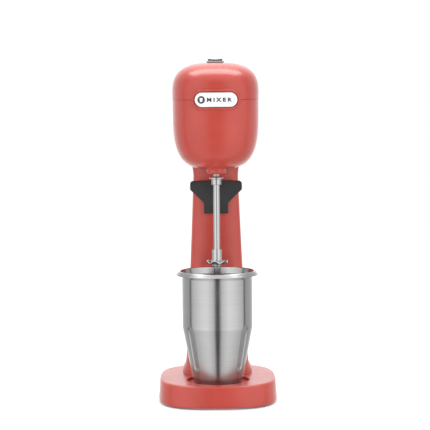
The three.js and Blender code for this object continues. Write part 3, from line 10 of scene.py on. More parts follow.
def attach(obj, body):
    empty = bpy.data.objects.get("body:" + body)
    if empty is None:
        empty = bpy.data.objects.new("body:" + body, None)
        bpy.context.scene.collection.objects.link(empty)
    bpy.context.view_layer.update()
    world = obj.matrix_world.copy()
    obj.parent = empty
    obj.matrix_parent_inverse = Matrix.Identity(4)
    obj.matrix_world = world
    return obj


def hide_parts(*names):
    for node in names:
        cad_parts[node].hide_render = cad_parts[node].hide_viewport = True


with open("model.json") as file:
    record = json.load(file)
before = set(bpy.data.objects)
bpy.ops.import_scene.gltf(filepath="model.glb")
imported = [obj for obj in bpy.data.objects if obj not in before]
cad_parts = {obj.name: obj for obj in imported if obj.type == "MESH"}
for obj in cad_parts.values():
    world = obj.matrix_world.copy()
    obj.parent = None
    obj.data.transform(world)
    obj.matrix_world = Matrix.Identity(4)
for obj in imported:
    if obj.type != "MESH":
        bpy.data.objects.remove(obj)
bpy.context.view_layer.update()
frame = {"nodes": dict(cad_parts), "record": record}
nodes = frame["nodes"]
mm = 0.001  # the sizes below are in millimetres, Blender's in metres
spindleY = -38.0
tau = 2 * math.pi
print("frame loaded,", len(nodes), "nodes")


# Shape helpers

def meshObject(name, points, faces):
    mesh = bpy.data.meshes.new(name)
    mesh.from_pydata([[value * mm for value in point] for point in points], [], faces)
    obj = bpy.data.objects.new(name, mesh)
    bpy.context.scene.collection.objects.link(obj)
    cleanNormals(obj)
    return obj


def cleanNormals(obj):
    work = bmesh.new()
    work.from_mesh(obj.data)
    bmesh.ops.remove_doubles(work, verts=work.verts, dist=2e-6)
    bmesh.ops.recalc_face_normals(work, faces=work.faces)
    work.to_mesh(obj.data)
    work.free()


# Quads between rings of points; a ring of one point is a pole.
def skin(rings, loop=False):
    points, faces, starts = [], [], []
    for ring in rings:
        starts.append(len(points))
        points.extend(tuple(float(value) for value in point) for point in ring)
    pairs = [(i, i + 1) for i in range(len(rings) - 1)] + ([(len(rings) - 1, 0)] if loop else [])
    for a, b in pairs:
        sides = max(len(rings[a]), len(rings[b]))
        for i in range(sides):
            j = (i + 1) % sides
            if len(rings[a]) == 1:
                faces.append((starts[a], starts[b] + i, starts[b] + j))
            elif len(rings[b]) == 1:
                faces.append((starts[a] + i, starts[b], starts[a] + j))
            else:
                faces.append((starts[a] + i, starts[a] + j, starts[b] + j, starts[b] + i))
    return points, faces


# A line through (x, y) or (x, y, radius) corners, rounded where a radius is given.
def rounded(corners, steps=5, closed=False):
    line, count = [], len(corners)
    for i, corner in enumerate(corners):
        here = np.array(corner[:2], float)
        radius = corner[2] if len(corner) > 2 else 0
        if radius == 0 or (not closed and i in (0, count - 1)):
            line.append(tuple(here))
            continue
        before = np.array(corners[i - 1][:2], float) - here
        after = np.array(corners[(i + 1) % count][:2], float) - here
        nearBy = min(np.linalg.norm(before), np.linalg.norm(after))
        u, v = before / np.linalg.norm(before), after / np.linalg.norm(after)
        half = math.acos(max(-1.0, min(1.0, float(u @ v)))) / 2
        reach = min(radius / math.tan(half), 0.49 * nearBy)
        arc = reach * math.tan(half)
        centre = here + (u + v) / np.linalg.norm(u + v) * (arc / math.sin(half))
        start, end = here + u * reach - centre, here + v * reach - centre
        first = math.atan2(start[1], start[0])
        turn = (math.atan2(end[1], end[0]) - first + math.pi) % tau - math.pi
        for k in range(steps + 1):
            angle = first + turn * k / steps
            line.append((centre[0] + arc * math.cos(angle), centre[1] + arc * math.sin(angle)))
    return line


# More points along a line, none further apart than the step.
def divided(line, step):
    result = [line[0]]
    for a, b in zip(line, line[1:]):
        pieces = max(1, math.ceil(math.dist(a, b) / step))
        result.extend(tuple(np.array(a) + (np.array(b) - np.array(a)) * k / pieces)
                      for k in range(1, pieces + 1))
    return result


def circleRing(radius, z, count, centre=(0, spindleY)):
    if radius < 1e-6:
        return [(centre[0], centre[1], z)]
    return [(centre[0] + radius * math.cos(tau * i / count),
             centre[1] + radius * math.sin(tau * i / count), z)
            for i in range(count)]


def lathe(name, profile, count=96, centre=(0, spindleY), loop=False):
    return meshObject(name, *skin([circleRing(r, z, count, centre) for r, z in profile], loop))


def superPoint(turn, halfWidth, halfDepth, power):
    c, s = math.cos(turn), math.sin(turn)
    reach = (abs(c / halfWidth) ** power + abs(s / halfDepth) ** power) ** (-1 / power)
    return reach * c, reach * s


def rectRing(halfX, halfY, corner, z, centre, steps=5):
    corners = [(halfX, halfY, corner), (-halfX, halfY, corner), (-halfX, -halfY, corner),
               (halfX, -halfY, corner)]
    return [(x + centre[0], y + centre[1], z) for x, y in rounded(corners, steps, closed=True)]


def prism(name, outline, place, bevel, segments=3):
    work = bmesh.new()
    low = [work.verts.new(Vector(place(a, b, 0)) * mm) for a, b in outline]
    high = [work.verts.new(Vector(place(a, b, 1)) * mm) for a, b in outline]
    work.faces.new(low)
    work.faces.new(high[::-1])
    for i in range(len(low)):
        j = (i + 1) % len(low)
        work.faces.new((low[i], high[i], high[j], low[j]))
    bmesh.ops.recalc_face_normals(work, faces=work.faces)
    edges = [e for e in work.edges if e.calc_face_angle(0) > math.radians(35)]
    bmesh.ops.bevel(work, geom=edges, offset=bevel * mm, segments=segments, profile=0.5, affect="EDGES",
                    clamp_overlap=True)
    mesh = bpy.data.meshes.new(name)
    work.to_mesh(mesh)
    work.free()
    obj = bpy.data.objects.new(name, mesh)
    bpy.context.scene.collection.objects.link(obj)
    return obj


# The evaluated object, with its modifiers, becomes its own plain mesh.
def settle(obj):
    bpy.context.view_layer.update()
    seen = obj.evaluated_get(bpy.context.evaluated_depsgraph_get())
    mesh = bpy.data.meshes.new_from_object(seen)
    obj.modifiers.clear()
    obj.data = mesh
    return obj


def boolean(obj, other, operation="DIFFERENCE"):
    step = obj.modifiers.new("cut", "BOOLEAN")
    step.operation, step.solver, step.object = operation, "EXACT", other
    settle(obj)
    mesh = other.data
    bpy.data.objects.remove(other)
    bpy.data.meshes.remove(mesh)
    return obj


def joinMeshes(obj, *others):
    work = bmesh.new()
    work.from_mesh(obj.data)
    for other in others:
        work.from_mesh(other.data)
        bpy.data.objects.remove(other)
    work.to_mesh(obj.data)
    work.free()
    return obj


def finishPiece(obj, body, material, replaced=(), sharp=38):
    obj.data.materials.clear()
    obj.data.materials.append(material)
    for polygon in obj.data.polygons:
        polygon.material_index = 0
    obj.data.shade_smooth()
    obj.data.set_sharp_from_angle(angle=math.radians(sharp))
    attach(obj, body)
    if replaced:
        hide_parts(*replaced)
    return obj


# Copies of one mesh on a grid of points, made by Geometry Nodes and settled into a plain mesh.
def gridTree():
    tree = bpy.data.node_groups.new("gridCopies", "GeometryNodeTree")
    face = tree.interface
    sockets = {}
    for label, kind in (("Across", "NodeSocketFloat"), ("Along", "NodeSocketFloat"),
                        ("Count Across", "NodeSocketInt"), ("Count Along", "NodeSocketInt"),
                        ("Centre", "NodeSocketVector"), ("Piece", "NodeSocketObject"),
                        ("Finish", "NodeSocketMaterial")):
        sockets[label] = face.new_socket(label, in_out="INPUT", socket_type=kind).identifier
    face.new_socket("Geometry", in_out="OUTPUT", socket_type="NodeSocketGeometry")
    add, link = tree.nodes.new, tree.links.new
    start, end = add("NodeGroupInput"), add("NodeGroupOutput")
    grid, move = add("GeometryNodeMeshGrid"), add("GeometryNodeTransform")
    info, copies = add("GeometryNodeObjectInfo"), add("GeometryNodeInstanceOnPoints")
    real, paintIt = add("GeometryNodeRealizeInstances"), add("GeometryNodeSetMaterial")
    link(start.outputs["Across"], grid.inputs["Size X"])
    link(start.outputs["Along"], grid.inputs["Size Y"])
    link(start.outputs["Count Across"], grid.inputs["Vertices X"])
    link(start.outputs["Count Along"], grid.inputs["Vertices Y"])
    link(grid.outputs["Mesh"], move.inputs["Geometry"])
    link(start.outputs["Centre"], move.inputs["Translation"])
    link(start.outputs["Piece"], info.inputs["Object"])
    link(move.outputs["Geometry"], copies.inputs["Points"])
    link(info.outputs["Geometry"], copies.inputs["Instance"])
    link(copies.outputs["Instances"], real.inputs["Geometry"])
    link(real.outputs["Geometry"], paintIt.inputs["Geometry"])
    link(start.outputs["Finish"], paintIt.inputs["Material"])
    link(paintIt.outputs["Geometry"], end.inputs["Geometry"])
    return tree, sockets


copyTree, copySockets = gridTree()


def gridCopies(name, source, across, along, counts, centre, material):
    obj = meshObject(name, [(0, 0, 0)], [])
    step = obj.modifiers.new("copies", "NODES")
    step.node_group = copyTree
    values = {"Across": across * mm, "Along": along * mm, "Count Across": counts[0], "Count Along": counts[1],
              "Centre": [value * mm for value in centre], "Piece": source, "Finish": material}
    for label, value in values.items():
        step[copySockets[label]] = value
    settle(obj)
    bpy.data.objects.remove(source)
    return obj


# Materials

class Shader:
    def __init__(self, name):
        self.material = bpy.data.materials.new(name)
        self.material.use_nodes = True
        self.tree = self.material.node_tree
        self.principled = self.tree.nodes["Principled BSDF"]
        self.coords = self.tree.nodes.new("ShaderNodeTexCoord")

    def set(self, **values):
        for label, value in values.items():
            self.principled.inputs[label.replace("_", " ")].default_value = value

    def link(self, output, target):
        self.tree.links.new(output, self.principled.inputs[target])

    def noise(self, scale, stretch=(1, 1, 1), detail=3.0, rough=0.5):
        mapping = self.tree.nodes.new("ShaderNodeMapping")
        mapping.inputs["Scale"].default_value = stretch
        self.tree.links.new(self.coords.outputs["Object"], mapping.inputs["Vector"])
        node = self.tree.nodes.new("ShaderNodeTexNoise")
        node.inputs["Scale"].default_value = scale
        node.inputs["Detail"].default_value = detail
        node.inputs["Roughness"].default_value = rough
        self.tree.links.new(mapping.outputs["Vector"], node.inputs["Vector"])
        return node.outputs["Fac"]

    def range(self, source, low, high):
        node = self.tree.nodes.new("ShaderNodeMapRange")
        for label, value in (("From Min", 0.3), ("From Max", 0.7), ("To Min", low), ("To Max", high)):
            node.inputs[label].default_value = value
        self.tree.links.new(source, node.inputs["Value"])
        return node.outputs["Result"]

    def blend(self, source, low, high, positions=(0.3, 0.7)):
        node = self.tree.nodes.new("ShaderNodeValToRGB")
        node.color_ramp.elements[0].position, node.color_ramp.elements[1].position = positions
        node.color_ramp.elements[0].color = (*low, 1)
        node.color_ramp.elements[1].color = (*high, 1)
        self.tree.links.new(source, node.inputs["Fac"])
        return node.outputs["Color"]

    def bump(self, source, strength, distance):
        node = self.tree.nodes.new("ShaderNodeBump")
        node.inputs["Strength"].default_value = strength
        node.inputs["Distance"].default_value = distance
        self.tree.links.new(source, node.inputs["Height"])
        previous = self.principled.inputs["Normal"].links
        if previous:
            self.tree.links.new(previous[0].from_socket, node.inputs["Normal"])
        self.tree.links.new(node.outputs["Normal"], self.principled.inputs["Normal"])

    # Brushing round the Z axis; a quarter turn blurs reflections up and down, not sideways.
    def brushed(self, amount, rotation=0.25):
        node = self.tree.nodes.new("ShaderNodeTangent")
        node.direction_type, node.axis = "RADIAL", "Z"
        self.tree.links.new(node.outputs["Tangent"], self.principled.inputs["Tangent"])
        self.set(Anisotropic=amount, Anisotropic_Rotation=rotation)


paintLook = {"deep": (0.39, 0.040, 0.027), "light": (0.44, 0.050, 0.035), "rough": (0.30, 0.36),
             "coat": 0.35, "coatRough": 0.16, "specular": 0.4, "peel": 0.10, "wave": 0.05}


def paintFinish(look):
    shader = Shader("satinRedPaint")
    cloud = shader.noise(18, detail=4)
    shader.link(shader.blend(cloud, look["deep"], look["light"]), "Base Color")
    shader.link(shader.range(shader.noise(60), *look["rough"]), "Roughness")
    shader.set(Coat_Weight=look["coat"], Coat_Roughness=look["coatRough"],
               Specular_IOR_Level=look["specular"])
    shader.bump(shader.noise(520, detail=2), look["peel"], 0.0002)
    shader.bump(shader.noise(70, detail=2), look["wave"], 0.0005)
    return shader.material


# Grain stretched along the brushing, with lines in relief or an anisotropic gloss where they are asked for.
def steelFinish(name, grey, rough, lines, stretch, aniso, metal=1.0):
    shader = Shader(name)
    grain = shader.noise(1.0, stretch=stretch, detail=5, rough=0.7)
    smudge = shader.noise(26, detail=3)
    shader.link(shader.blend(grain, tuple(v * 0.88 for v in grey), grey, (0.25, 0.75)), "Base Color")
    shader.link(shader.range(smudge, rough * 0.85, rough * 1.15), "Roughness")
    shader.set(Metallic=metal)
    if lines:
        shader.bump(grain, lines, 0.00005)
    if aniso:
        shader.brushed(aniso)
    return shader.material


def plasticFinish(name, low, high, rough, grain=900, strength=0.25):
    shader = Shader(name)
    speckle = shader.noise(grain, detail=2)
    shader.link(shader.blend(shader.noise(40), low, high), "Base Color")
    shader.link(shader.range(speckle, rough * 0.9, rough * 1.12), "Roughness")
    shader.bump(speckle, strength, 0.0001)
    return shader.material


paint = paintFinish(paintLook)
cupSteel = steelFinish("brushedCupSteel", (0.46, 0.46, 0.46), 0.24, 0.0, (5, 5, 1300), 0.85)
brightSteel = steelFinish("polishedSteel", (0.52, 0.52, 0.52), 0.22, 0.0, (20, 20, 1500), 0.5)
slideSteel = steelFinish("slideSteel", (0.60, 0.60, 0.61), 0.35, 0.08, (900, 12, 12), 0)
zinc = steelFinish("zincPlating", (0.58, 0.60, 0.63), 0.34, 0.15, (160, 160, 160), 0)
bareAluminium = steelFinish("castAluminium", (0.60, 0.60, 0.61), 0.5, 0.3, (300, 300, 300), 0)
lamination = steelFinish("stackedIron", (0.30, 0.29, 0.28), 0.5, 0.6, (4, 4, 1900), 0)
copper = steelFinish("enamelledCopper", (0.56, 0.24, 0.11), 0.3, 0.5, (40, 40, 1200), 0)
plateMetal = steelFinish("plateFace", (0.90, 0.90, 0.91), 0.42, 0.05, (900, 8, 8), 0, metal=0.35)
blackPlastic = plasticFinish("blackPlastic", (0.010, 0.0105, 0.011), (0.016, 0.0165, 0.017), 0.5)
rockerPlastic = plasticFinish("rockerPlastic", (0.035, 0.035, 0.036), (0.05, 0.05, 0.052), 0.4)
greyPlastic = plasticFinish("greyPlastic", (0.17, 0.17, 0.17), (0.22, 0.22, 0.22), 0.45)
whitePlastic = plasticFinish("whitePlastic", (0.66, 0.66, 0.63), (0.74, 0.74, 0.71), 0.4, 700, 0.1)
rubber = plasticFinish("softRubber", (0.016, 0.016, 0.017), (0.026, 0.026, 0.027), 0.75, 500, 0.4)
carbon = plasticFinish("carbon", (0.03, 0.03, 0.032), (0.05, 0.05, 0.052), 0.55, 600, 0.3)
ink = plasticFinish("badgeInk", (0.035, 0.036, 0.04), (0.05, 0.05, 0.055), 0.5, 300, 0.05)
print("materials made")


# Base

baseForm = {"halfWidth": 85.0, "halfDepth": 98.0, "power": 3, "low": 2.0, "top": 33.0, "draft": 1.7,
            "fillet": 4.6, "recess": 43.5, "recessFloor": 29.5, "wall": 4.7, "ceiling": 26.5, "sides": 192}


def baseRing(inset, z, form=baseForm):
    count = form["sides"]
    halfX, halfY = form["halfWidth"] - inset, form["halfDepth"] - inset
    return [(*superPoint(tau * i / count, halfX, halfY, form["power"]), z) for i in range(count)]


def buildBase(form):
    count = form["sides"]
    shelf = form["draft"] + form["fillet"] + 3
    side = rounded([(form["wall"] + 3, form["ceiling"]), (form["wall"], form["low"] + 3),
                    (form["wall"], form["low"], 0.7), (0.9, form["low"], 0.5), (0, 3.4, 1.6),
                    (form["draft"], form["top"], form["fillet"]), (shelf, form["top"])], 7)
    rings = [[(0, 0, form["ceiling"])]] + [baseRing(inset, z) for inset, z in divided(side, 6)]
    lip = rounded([(form["recess"] + 4, form["top"]), (form["recess"], form["top"], 1.3),
                   (form["recess"], form["recessFloor"], 1.3), (form["recess"] - 5, form["recessFloor"])], 6)
    outer, inner = rings[-1], circleRing(lip[0][0], form["top"], count)
    for share in (0.2, 0.4, 0.6, 0.8):
        rings.append([tuple(np.array(a) * (1 - share) + np.array(b) * share) for a, b in zip(outer, inner)])
    rings += [circleRing(r, z, count) for r, z in lip]
    rings += [circleRing(r, form["recessFloor"], count) for r in (24, 12, 0)]
    return meshObject("base_shell", *skin(rings))


glandForm = {"z": 17.5, "face": 96.3, "flange": 7.2, "flangeDeep": 1.6, "body": 5.5, "deep": 11.0,
             "hole": 3.6, "play": 0.2, "behind": 14.0, "beyond": 4.0}


# Turns a shape made about +Z so that it runs in from the base's rear face.
def atRear(obj, form=glandForm):
    obj.data.transform(Matrix.Translation((0, form["face"] * mm, form["z"] * mm))
                       @ Matrix.Rotation(math.pi / 2, 4, "X"))
    return obj


def glandHole(form):
    flange, body, seat = (form[key] + form["play"] for key in ("flange", "body", "flangeDeep"))
    line = [(0, -form["beyond"]), (flange, -form["beyond"]), (flange, seat), (body, seat),
            (body, form["behind"]), (0, form["behind"])]
    return atRear(lathe("gland_hole", line, 64, (0, 0)))


baseShell = boolean(buildBase(baseForm), glandHole(glandForm))
finishPiece(baseShell, "stand", paint, ["base_casting"], 30)

plateForm = {"inset": 5.3, "low": 3.5, "high": 5.0, "pressed": 0.5, "rim": 17}


def buildPlate(form):
    low, high, pressed = form["low"], form["high"], form["low"] + form["pressed"]
    line = rounded([(form["rim"] + 12, pressed), (form["rim"] + 2, pressed, 1), (form["rim"], low, 1),
                    (form["inset"], low, 0.4), (form["inset"], high, 0.4), (form["rim"], high)], 4)
    rings = [[(0, 0, pressed)]] + [baseRing(inset, z) for inset, z in line] + [[(0, 0, high)]]
    return meshObject("under_plate", *skin(rings))


finishPiece(buildPlate(plateForm), "stand", zinc, ["base_plate"], 30)

footForm = {"radius": 9.0, "height": 3.2, "room": 3.55, "roomHigh": 2.3, "hole": 2.1,
            "spread": (108.8, 132.9)}
footNames = ["foot_front_left", "foot_front_right", "foot_rear_left", "foot_rear_right"]


def buildFeet(form):
    profile = rounded([(form["room"], 0, 0.3), (form["radius"] - 0.6, 0, 0.5), (form["radius"], 1.2, 0.5),
                       (form["radius"], form["height"], 0.3), (form["hole"], form["height"]),
                       (form["hole"], form["roomHigh"]), (form["room"], form["roomHigh"])], 4, closed=True)
    source = lathe("foot_pattern", profile, 48, (0, 0), loop=True)
    return gridCopies("rubber_feet", source, *form["spread"], (2, 2), (0, 0, 0), rubber)


finishPiece(buildFeet(footForm), "stand", rubber, footNames)

screwForm = {"head": 3.2, "headHigh": 2.0, "radius": 1.8, "length": 15.0, "low": 0.5, "slot": 0.42}


# A pan-head screw standing on its slotted head.
def screwMesh(name, form, length):
    top = form["headHigh"]
    profile = rounded([(0, 0.0), (form["head"] * 0.72, 0.0, 1.2), (form["head"], top * 0.55, 0.9),
                       (form["head"], top, 0.15), (form["radius"], top),
                       (form["radius"], length - 1.2, 0.3), (form["radius"] * 0.45, length),
                       (0, length)], 3)
    obj = lathe(name, profile, 24, (0, 0))
    half, reach = form["slot"], form["head"] + 0.8
    slot = prism("slot", [(-reach, -half), (reach, -half), (reach, half), (-reach, half)],
                 lambda a, b, t: (a, b, -1 + t * (1 + top * 0.4)), 0.05, 1)
    return boolean(obj, slot)


footScrews = gridCopies("foot_screws", screwMesh("screw_pattern", screwForm, screwForm["length"]),
                        *footForm["spread"], (2, 2), (0, 0, screwForm["low"]), zinc)
finishPiece(footScrews, "stand", zinc, [name.replace("foot_", "foot_screw_") for name in footNames])


def buildGland(form):
    profile = rounded([(form["hole"], 0, 0.5), (form["flange"], 0, 0.7),
                       (form["flange"], form["flangeDeep"], 0.2), (form["body"], form["flangeDeep"]),
                       (form["body"], form["deep"], 0.4), (form["hole"], form["deep"])], 4, closed=True)
    return atRear(lathe("cord_gland_ring", profile, 48, (0, 0), loop=True))


finishPiece(buildGland(glandForm), "stand", rubber, ["cord_gland"])
print("base made")


# Head form, shared by the housing, the cap, the column's top edge and the badge

headForm = {"halfWidth": 61.0, "halfDepth": 83.5, "centreY": -12.0, "bottom": 333.0, "beltLow": 420.0,
            "beltHigh": 440.0, "top": 484.0, "planPower": 2.6, "lowPower": 3.3, "highPower": 2.9,
            "seam": 432.5, "gap": 0.15, "capProud": 0.4, "wall": 3.0, "sides": 192}


def headShare(z, offset=0.0, form=headForm):
    if z < form["beltLow"]:
        high = (form["beltLow"] - z) / (form["beltLow"] - form["bottom"] + offset)
        return max(1 - min(high, 1) ** form["lowPower"], 0) ** (1 / form["lowPower"])
    if z > form["beltHigh"]:
        high = (z - form["beltHigh"]) / (form["top"] - form["beltHigh"] + offset)
        return max(1 - min(high, 1) ** form["highPower"], 0) ** (1 / form["highPower"])
    return 1.0


def headRing(z, offset, share=None, form=headForm):
    share = headShare(z, offset) if share is None else share
    halfX, halfY, count = form["halfWidth"] + offset, form["halfDepth"] + offset, form["sides"]
    plan = [superPoint(tau * i / count, halfX, halfY, form["planPower"]) for i in range(count)]
    return [(x * share, y * share + form["centreY"], z) for x, y in plan]


def planShare(x, y, offset, form=headForm):
    across = abs(x) / (form["halfWidth"] + offset)
    along = abs(y - form["centreY"]) / (form["halfDepth"] + offset)
    return (across ** form["planPower"] + along ** form["planPower"]) ** (1 / form["planPower"])


def underside(x, y, offset=0.0, form=headForm):
    share = min(planShare(x, y, offset), 1)
    drop = form["beltLow"] - form["bottom"] + offset
    return form["beltLow"] - drop * (1 - share ** form["lowPower"]) ** (1 / form["lowPower"])


def crown(x, y, offset, form=headForm):
    share = min(planShare(x, y, offset), 1)
    rise = form["top"] - form["beltHigh"] + offset
    return form["beltHigh"] + rise * (1 - share ** form["highPower"]) ** (1 / form["highPower"])


# Y of the head's front surface.
def frontOf(x, z, offset, form=headForm):
    share = headShare(z, offset)
    power = form["planPower"]
    across = min(abs(x) / ((form["halfWidth"] + offset) * share), 1)
    return form["centreY"] - (form["halfDepth"] + offset) * share * (1 - across ** power) ** (1 / power)


# Column

columnForm = {"low": 33.3, "baseTop": 33.0, "height": 300.0, "front": 26.7, "topHalf": 32.2,
              "footExtra": 11.7, "bulge": 3.0, "topDepth": 33.7, "footDepth": 25.5, "reach": 34.8,
              "reachHigh": 157.0, "power": 3.0, "footRadius": 18.0, "footStep": 3.8, "flare": 2.0,
              "flareHigh": 15.0, "wall": 3.5, "soft": 1.1, "hollow": (45.0, 55.2, 31.0, 109.8), "gap": 0.3,
              "sides": 224, "levels": 72, "crowd": 0.18}


# How far the side stands from the column's middle at a turn and a height, with the cup's hollow taken out.
def columnReach(turn, z, form=columnForm):
    share = (form["baseTop"] + form["height"] - z) / form["height"]
    rise = max(z - form["baseTop"], 0)
    inside = max(form["footRadius"] ** 2 - max(form["footRadius"] - rise, 0) ** 2, 0)
    spread = min(form["footRadius"] - math.sqrt(inside), form["footStep"])
    flareLow = form["baseTop"] + form["height"] - form["flareHigh"]
    topFlare = form["flare"] * min(max((z - flareLow) / form["flareHigh"], 0), 1) ** 2
    half = form["topHalf"] + form["footExtra"] * share + form["bulge"] * share ** 2 + spread + topFlare
    front = form["front"] - form["reach"] * max(1 - rise / form["reachHigh"], 0) ** 3 - spread
    back = form["front"] + form["topDepth"] + form["footDepth"] * share + spread
    middle, deep = (front + back) / 2, (back - front) / 2
    x, y = superPoint(turn, half, deep, form["power"])
    reach = math.hypot(x, y)
    low, high, lowZ, highZ = form["hollow"]
    hollow = low + (high - low) * min(max((z - lowZ) / (highZ - lowZ), 0), 1)
    across, along = math.cos(turn), math.sin(turn)
    away = middle - spindleY
    inner = away * -along
    square = hollow ** 2 - away ** 2 * across ** 2
    if inner > 0 and square > 0:
        cut = inner - math.sqrt(square)
        least = min(reach, cut)
        reach = least - form["soft"] * math.log(math.exp((least - reach) / form["soft"])
                                                + math.exp((least - cut) / form["soft"]))
    return middle, reach, across, along


def columnPoint(turn, z, inset=0.0):
    middle, reach, across, along = columnReach(turn, z)
    return (reach - inset) * across, middle + (reach - inset) * along


# Height at which the column's side meets the head, found by halving steps.
def columnTop(turn, inset, gap):
    z = 340.0
    for _ in range(30):
        z = 0.5 * z + 0.5 * (underside(*columnPoint(turn, min(z, 366), inset)) - gap)
    return z


def buildColumn(form):
    count = form["sides"]
    # Turns sit closer together towards the front, where the hollow's edges are.
    turns = [tau * i / count - form["crowd"] * math.sin(2 * tau * i / count) for i in range(count)]
    rings = []
    outer = [columnTop(turn, 0, form["gap"]) for turn in turns]
    inner = [columnTop(turn, form["wall"], form["gap"]) for turn in turns]
    levels = [(k / form["levels"]) ** 1.25 for k in range(form["levels"] + 1)]

    def ring(tops, inset, share, lower=0.0):
        points = []
        for turn, top in zip(turns, tops):
            z = form["low"] + (top - lower - form["low"]) * share
            points.append((*columnPoint(turn, z, inset), z))
        return points

    for share in levels[:-1]:
        rings.append(ring(outer, 0, share, 0.8))
    for inset, lower in ((0, 0.8), (0.12, 0.35), (0.4, 0.1), (0.8, 0.0)):
        rings.append(ring(outer, inset, 1, lower))
    for share in levels[::-4]:
        rings.append(ring(inner, form["wall"], share))
    return meshObject("column_shell", *skin(rings, loop=True))


column = buildColumn(columnForm)
slotForm = {"half": 7.6, "low": 274.5, "high": 303.8}
slotCut = prism("slide_slot", [(-slotForm["half"], slotForm["low"]), (slotForm["half"], slotForm["low"]),
                               (slotForm["half"], slotForm["high"]), (-slotForm["half"], slotForm["high"])],
                lambda a, b, t: (a, 15 + 20 * t, b), 0.2, 1)
boolean(column, slotCut)
finishPiece(column, "stand", paint, ["column_casting"], 40)
print("column made")


# Head

def lowerRings(offset, form=headForm, count=44):
    power = 2 / form["lowPower"]
    drop = form["beltLow"] - form["bottom"] + offset
    rings = [[(0, form["centreY"], form["bottom"] - offset)]]
    for k in range(1, count + 1):
        angle = math.pi / 2 * (k / count) ** 1.5
        height = form["beltLow"] - drop * max(math.cos(angle), 0) ** power
        rings.append(headRing(height, offset, math.sin(angle) ** power))
    return rings


def pillRing(halfWidth, halfHeight, outset, place, arc=20, straight=12):
    radius, run = halfHeight + outset, halfWidth - halfHeight
    points = []
    for side in (1, -1):
        for k in range(arc):
            angle = side * math.pi / 2 - math.pi * k / arc
            points.append((side * run + radius * math.cos(angle), radius * math.sin(angle)))
        for k in range(straight):
            points.append((side * run - side * 2 * run * k / straight, -side * radius))
    return [place(x, z) for x, z in points]


badgeForm = {"halfWidth": 29.4, "halfHeight": 9.8, "z": 432.65, "gap": 1.5, "width": 2.9, "proud": 2.4,
             "rim": 1.9, "field": 1.55, "back": 0.8, "root": -1.2}


def badgeRing(outset, offset, scale=1.0, form=badgeForm):
    def place(x, z):
        x, z = x * scale, z * scale + form["z"]
        return x, frontOf(x, z, offset), z
    return pillRing(form["halfWidth"], form["halfHeight"], outset, place)


# The raised edge round the badge, cut to the part of the head that carries it.
def buildSurround(form, low, high):
    inner, outer = form["gap"], form["gap"] + form["width"]
    section = rounded([(inner, form["root"]), (inner, form["proud"], 0.6), (outer - 0.3, form["proud"], 1.3),
                       (outer, 0.3, 0.6), (outer + 1.6, -0.3), (outer + 1.6, form["root"])], 5)
    obj = meshObject("badge_surround", *skin([badgeRing(d, o) for d, o in section], loop=True))
    keep = prism("half", [(-50, low), (50, low), (50, high), (-50, high)],
                 lambda a, b, t: (a, -110 + 60 * t, b), 0.01, 1)
    return boolean(obj, keep, "INTERSECT")


noseForm = {"bore": 6.2, "seal": 8.15, "radius": 13.75, "low": 327.0, "ledge": 332.8, "top": 333.0,
            "root": 341.0, "sides": 96}


# The boss that the shaft comes out of, widening into the head's underside.
def buildNose(form):
    bore, seal, radius, low, count = form["bore"], form["seal"], form["radius"], form["low"], form["sides"]
    line = rounded([(bore, form["root"] - 1), (bore, form["ledge"]), (seal, form["ledge"]), (seal, low, 0.3),
                    (9.6, low, 0.6), (radius - 1.25, low + 1.5, 2.0), (radius, form["ledge"] - 1.4, 1.6),
                    (radius, form["top"])], 5)
    rings = [circleRing(r, z, count) for r, z in line]
    for grow, lower in ((0.15, 1.4), (0.5, 0.6), (1.3, 0.05), (2.0, -0.25)):
        ring = circleRing(radius + grow, 0, count)
        rings.append([(x, y, max(underside(x, y) - lower, form["top"] + grow * 0.2)) for x, y, _ in ring])
    rings.append([(x, y, underside(x, y) + 2) for x, y, _ in circleRing(radius + 1.75, 0, count)])
    rings.append(circleRing(bore, form["root"], count))
    return meshObject("nose", *skin(rings, loop=True))


def buildHousing(form):
    rings = lowerRings(0)
    for inset, z in rounded([(0, form["beltLow"] + 4), (0, form["seam"], 0.3),
                             (form["wall"], form["seam"], 0.3), (form["wall"], form["beltLow"])], 4):
        rings.append(headRing(z, -inset, 1))
    rings += lowerRings(-form["wall"], count=22)[::-1]
    shell = meshObject("motor_shell", *skin(rings))
    wayLow, wayHigh = noseForm["low"] - 1, noseForm["root"] + 9
    way = [(0, wayLow), (noseForm["bore"], wayLow), (noseForm["bore"], wayHigh), (0, wayHigh)]
    boolean(shell, lathe("shaft_way", way, noseForm["sides"]))
    boolean(shell, buildNose(noseForm), "UNION")
    boolean(shell, buildSurround(badgeForm, 400, form["seam"]), "UNION")
    return shell


capScrewForm = {"x": 30.0, "z": 423.5, "face": 64.7, "deep": 2.0, "well": 3.5,
                "beyond": 30.0, "length": 12.0}


# Turns a shape made about +Z to run along Y at one of the cap's screws, rearwards or forwards.
def atCapScrew(obj, side, back, turn, form=capScrewForm):
    place = Matrix.Translation((side * form["x"] * mm, (form["face"] - back) * mm, form["z"] * mm))
    obj.data.transform(place @ Matrix.Rotation(turn, 4, "X"))
    return obj


housing = buildHousing(headForm)
for side in (-1, 1):
    radius, beyond = capScrewForm["well"], capScrewForm["beyond"]
    well = lathe("screw_well", [(0, 0), (radius, 0), (radius, beyond), (0, beyond)], 32, (0, 0))
    boolean(housing, atCapScrew(well, side, capScrewForm["deep"], -math.pi / 2))
finishPiece(housing, "stand", paint, ["motor_housing"], 32)
print("housing made")

for side, name in ((-1, "left"), (1, "right")):
    fixing = screwMesh("cap_fixing_" + name, screwForm, capScrewForm["length"])
    finishPiece(atCapScrew(fixing, side, 0, math.pi / 2), "stand", zinc, ["cap_screw_" + name])


ventForm = {"count": 6, "width": 3.0, "pitch": 6.5, "height": 15.0, "low": 436.5, "start": -12.0,
            "deep": 28.0, "corner": 1.3}


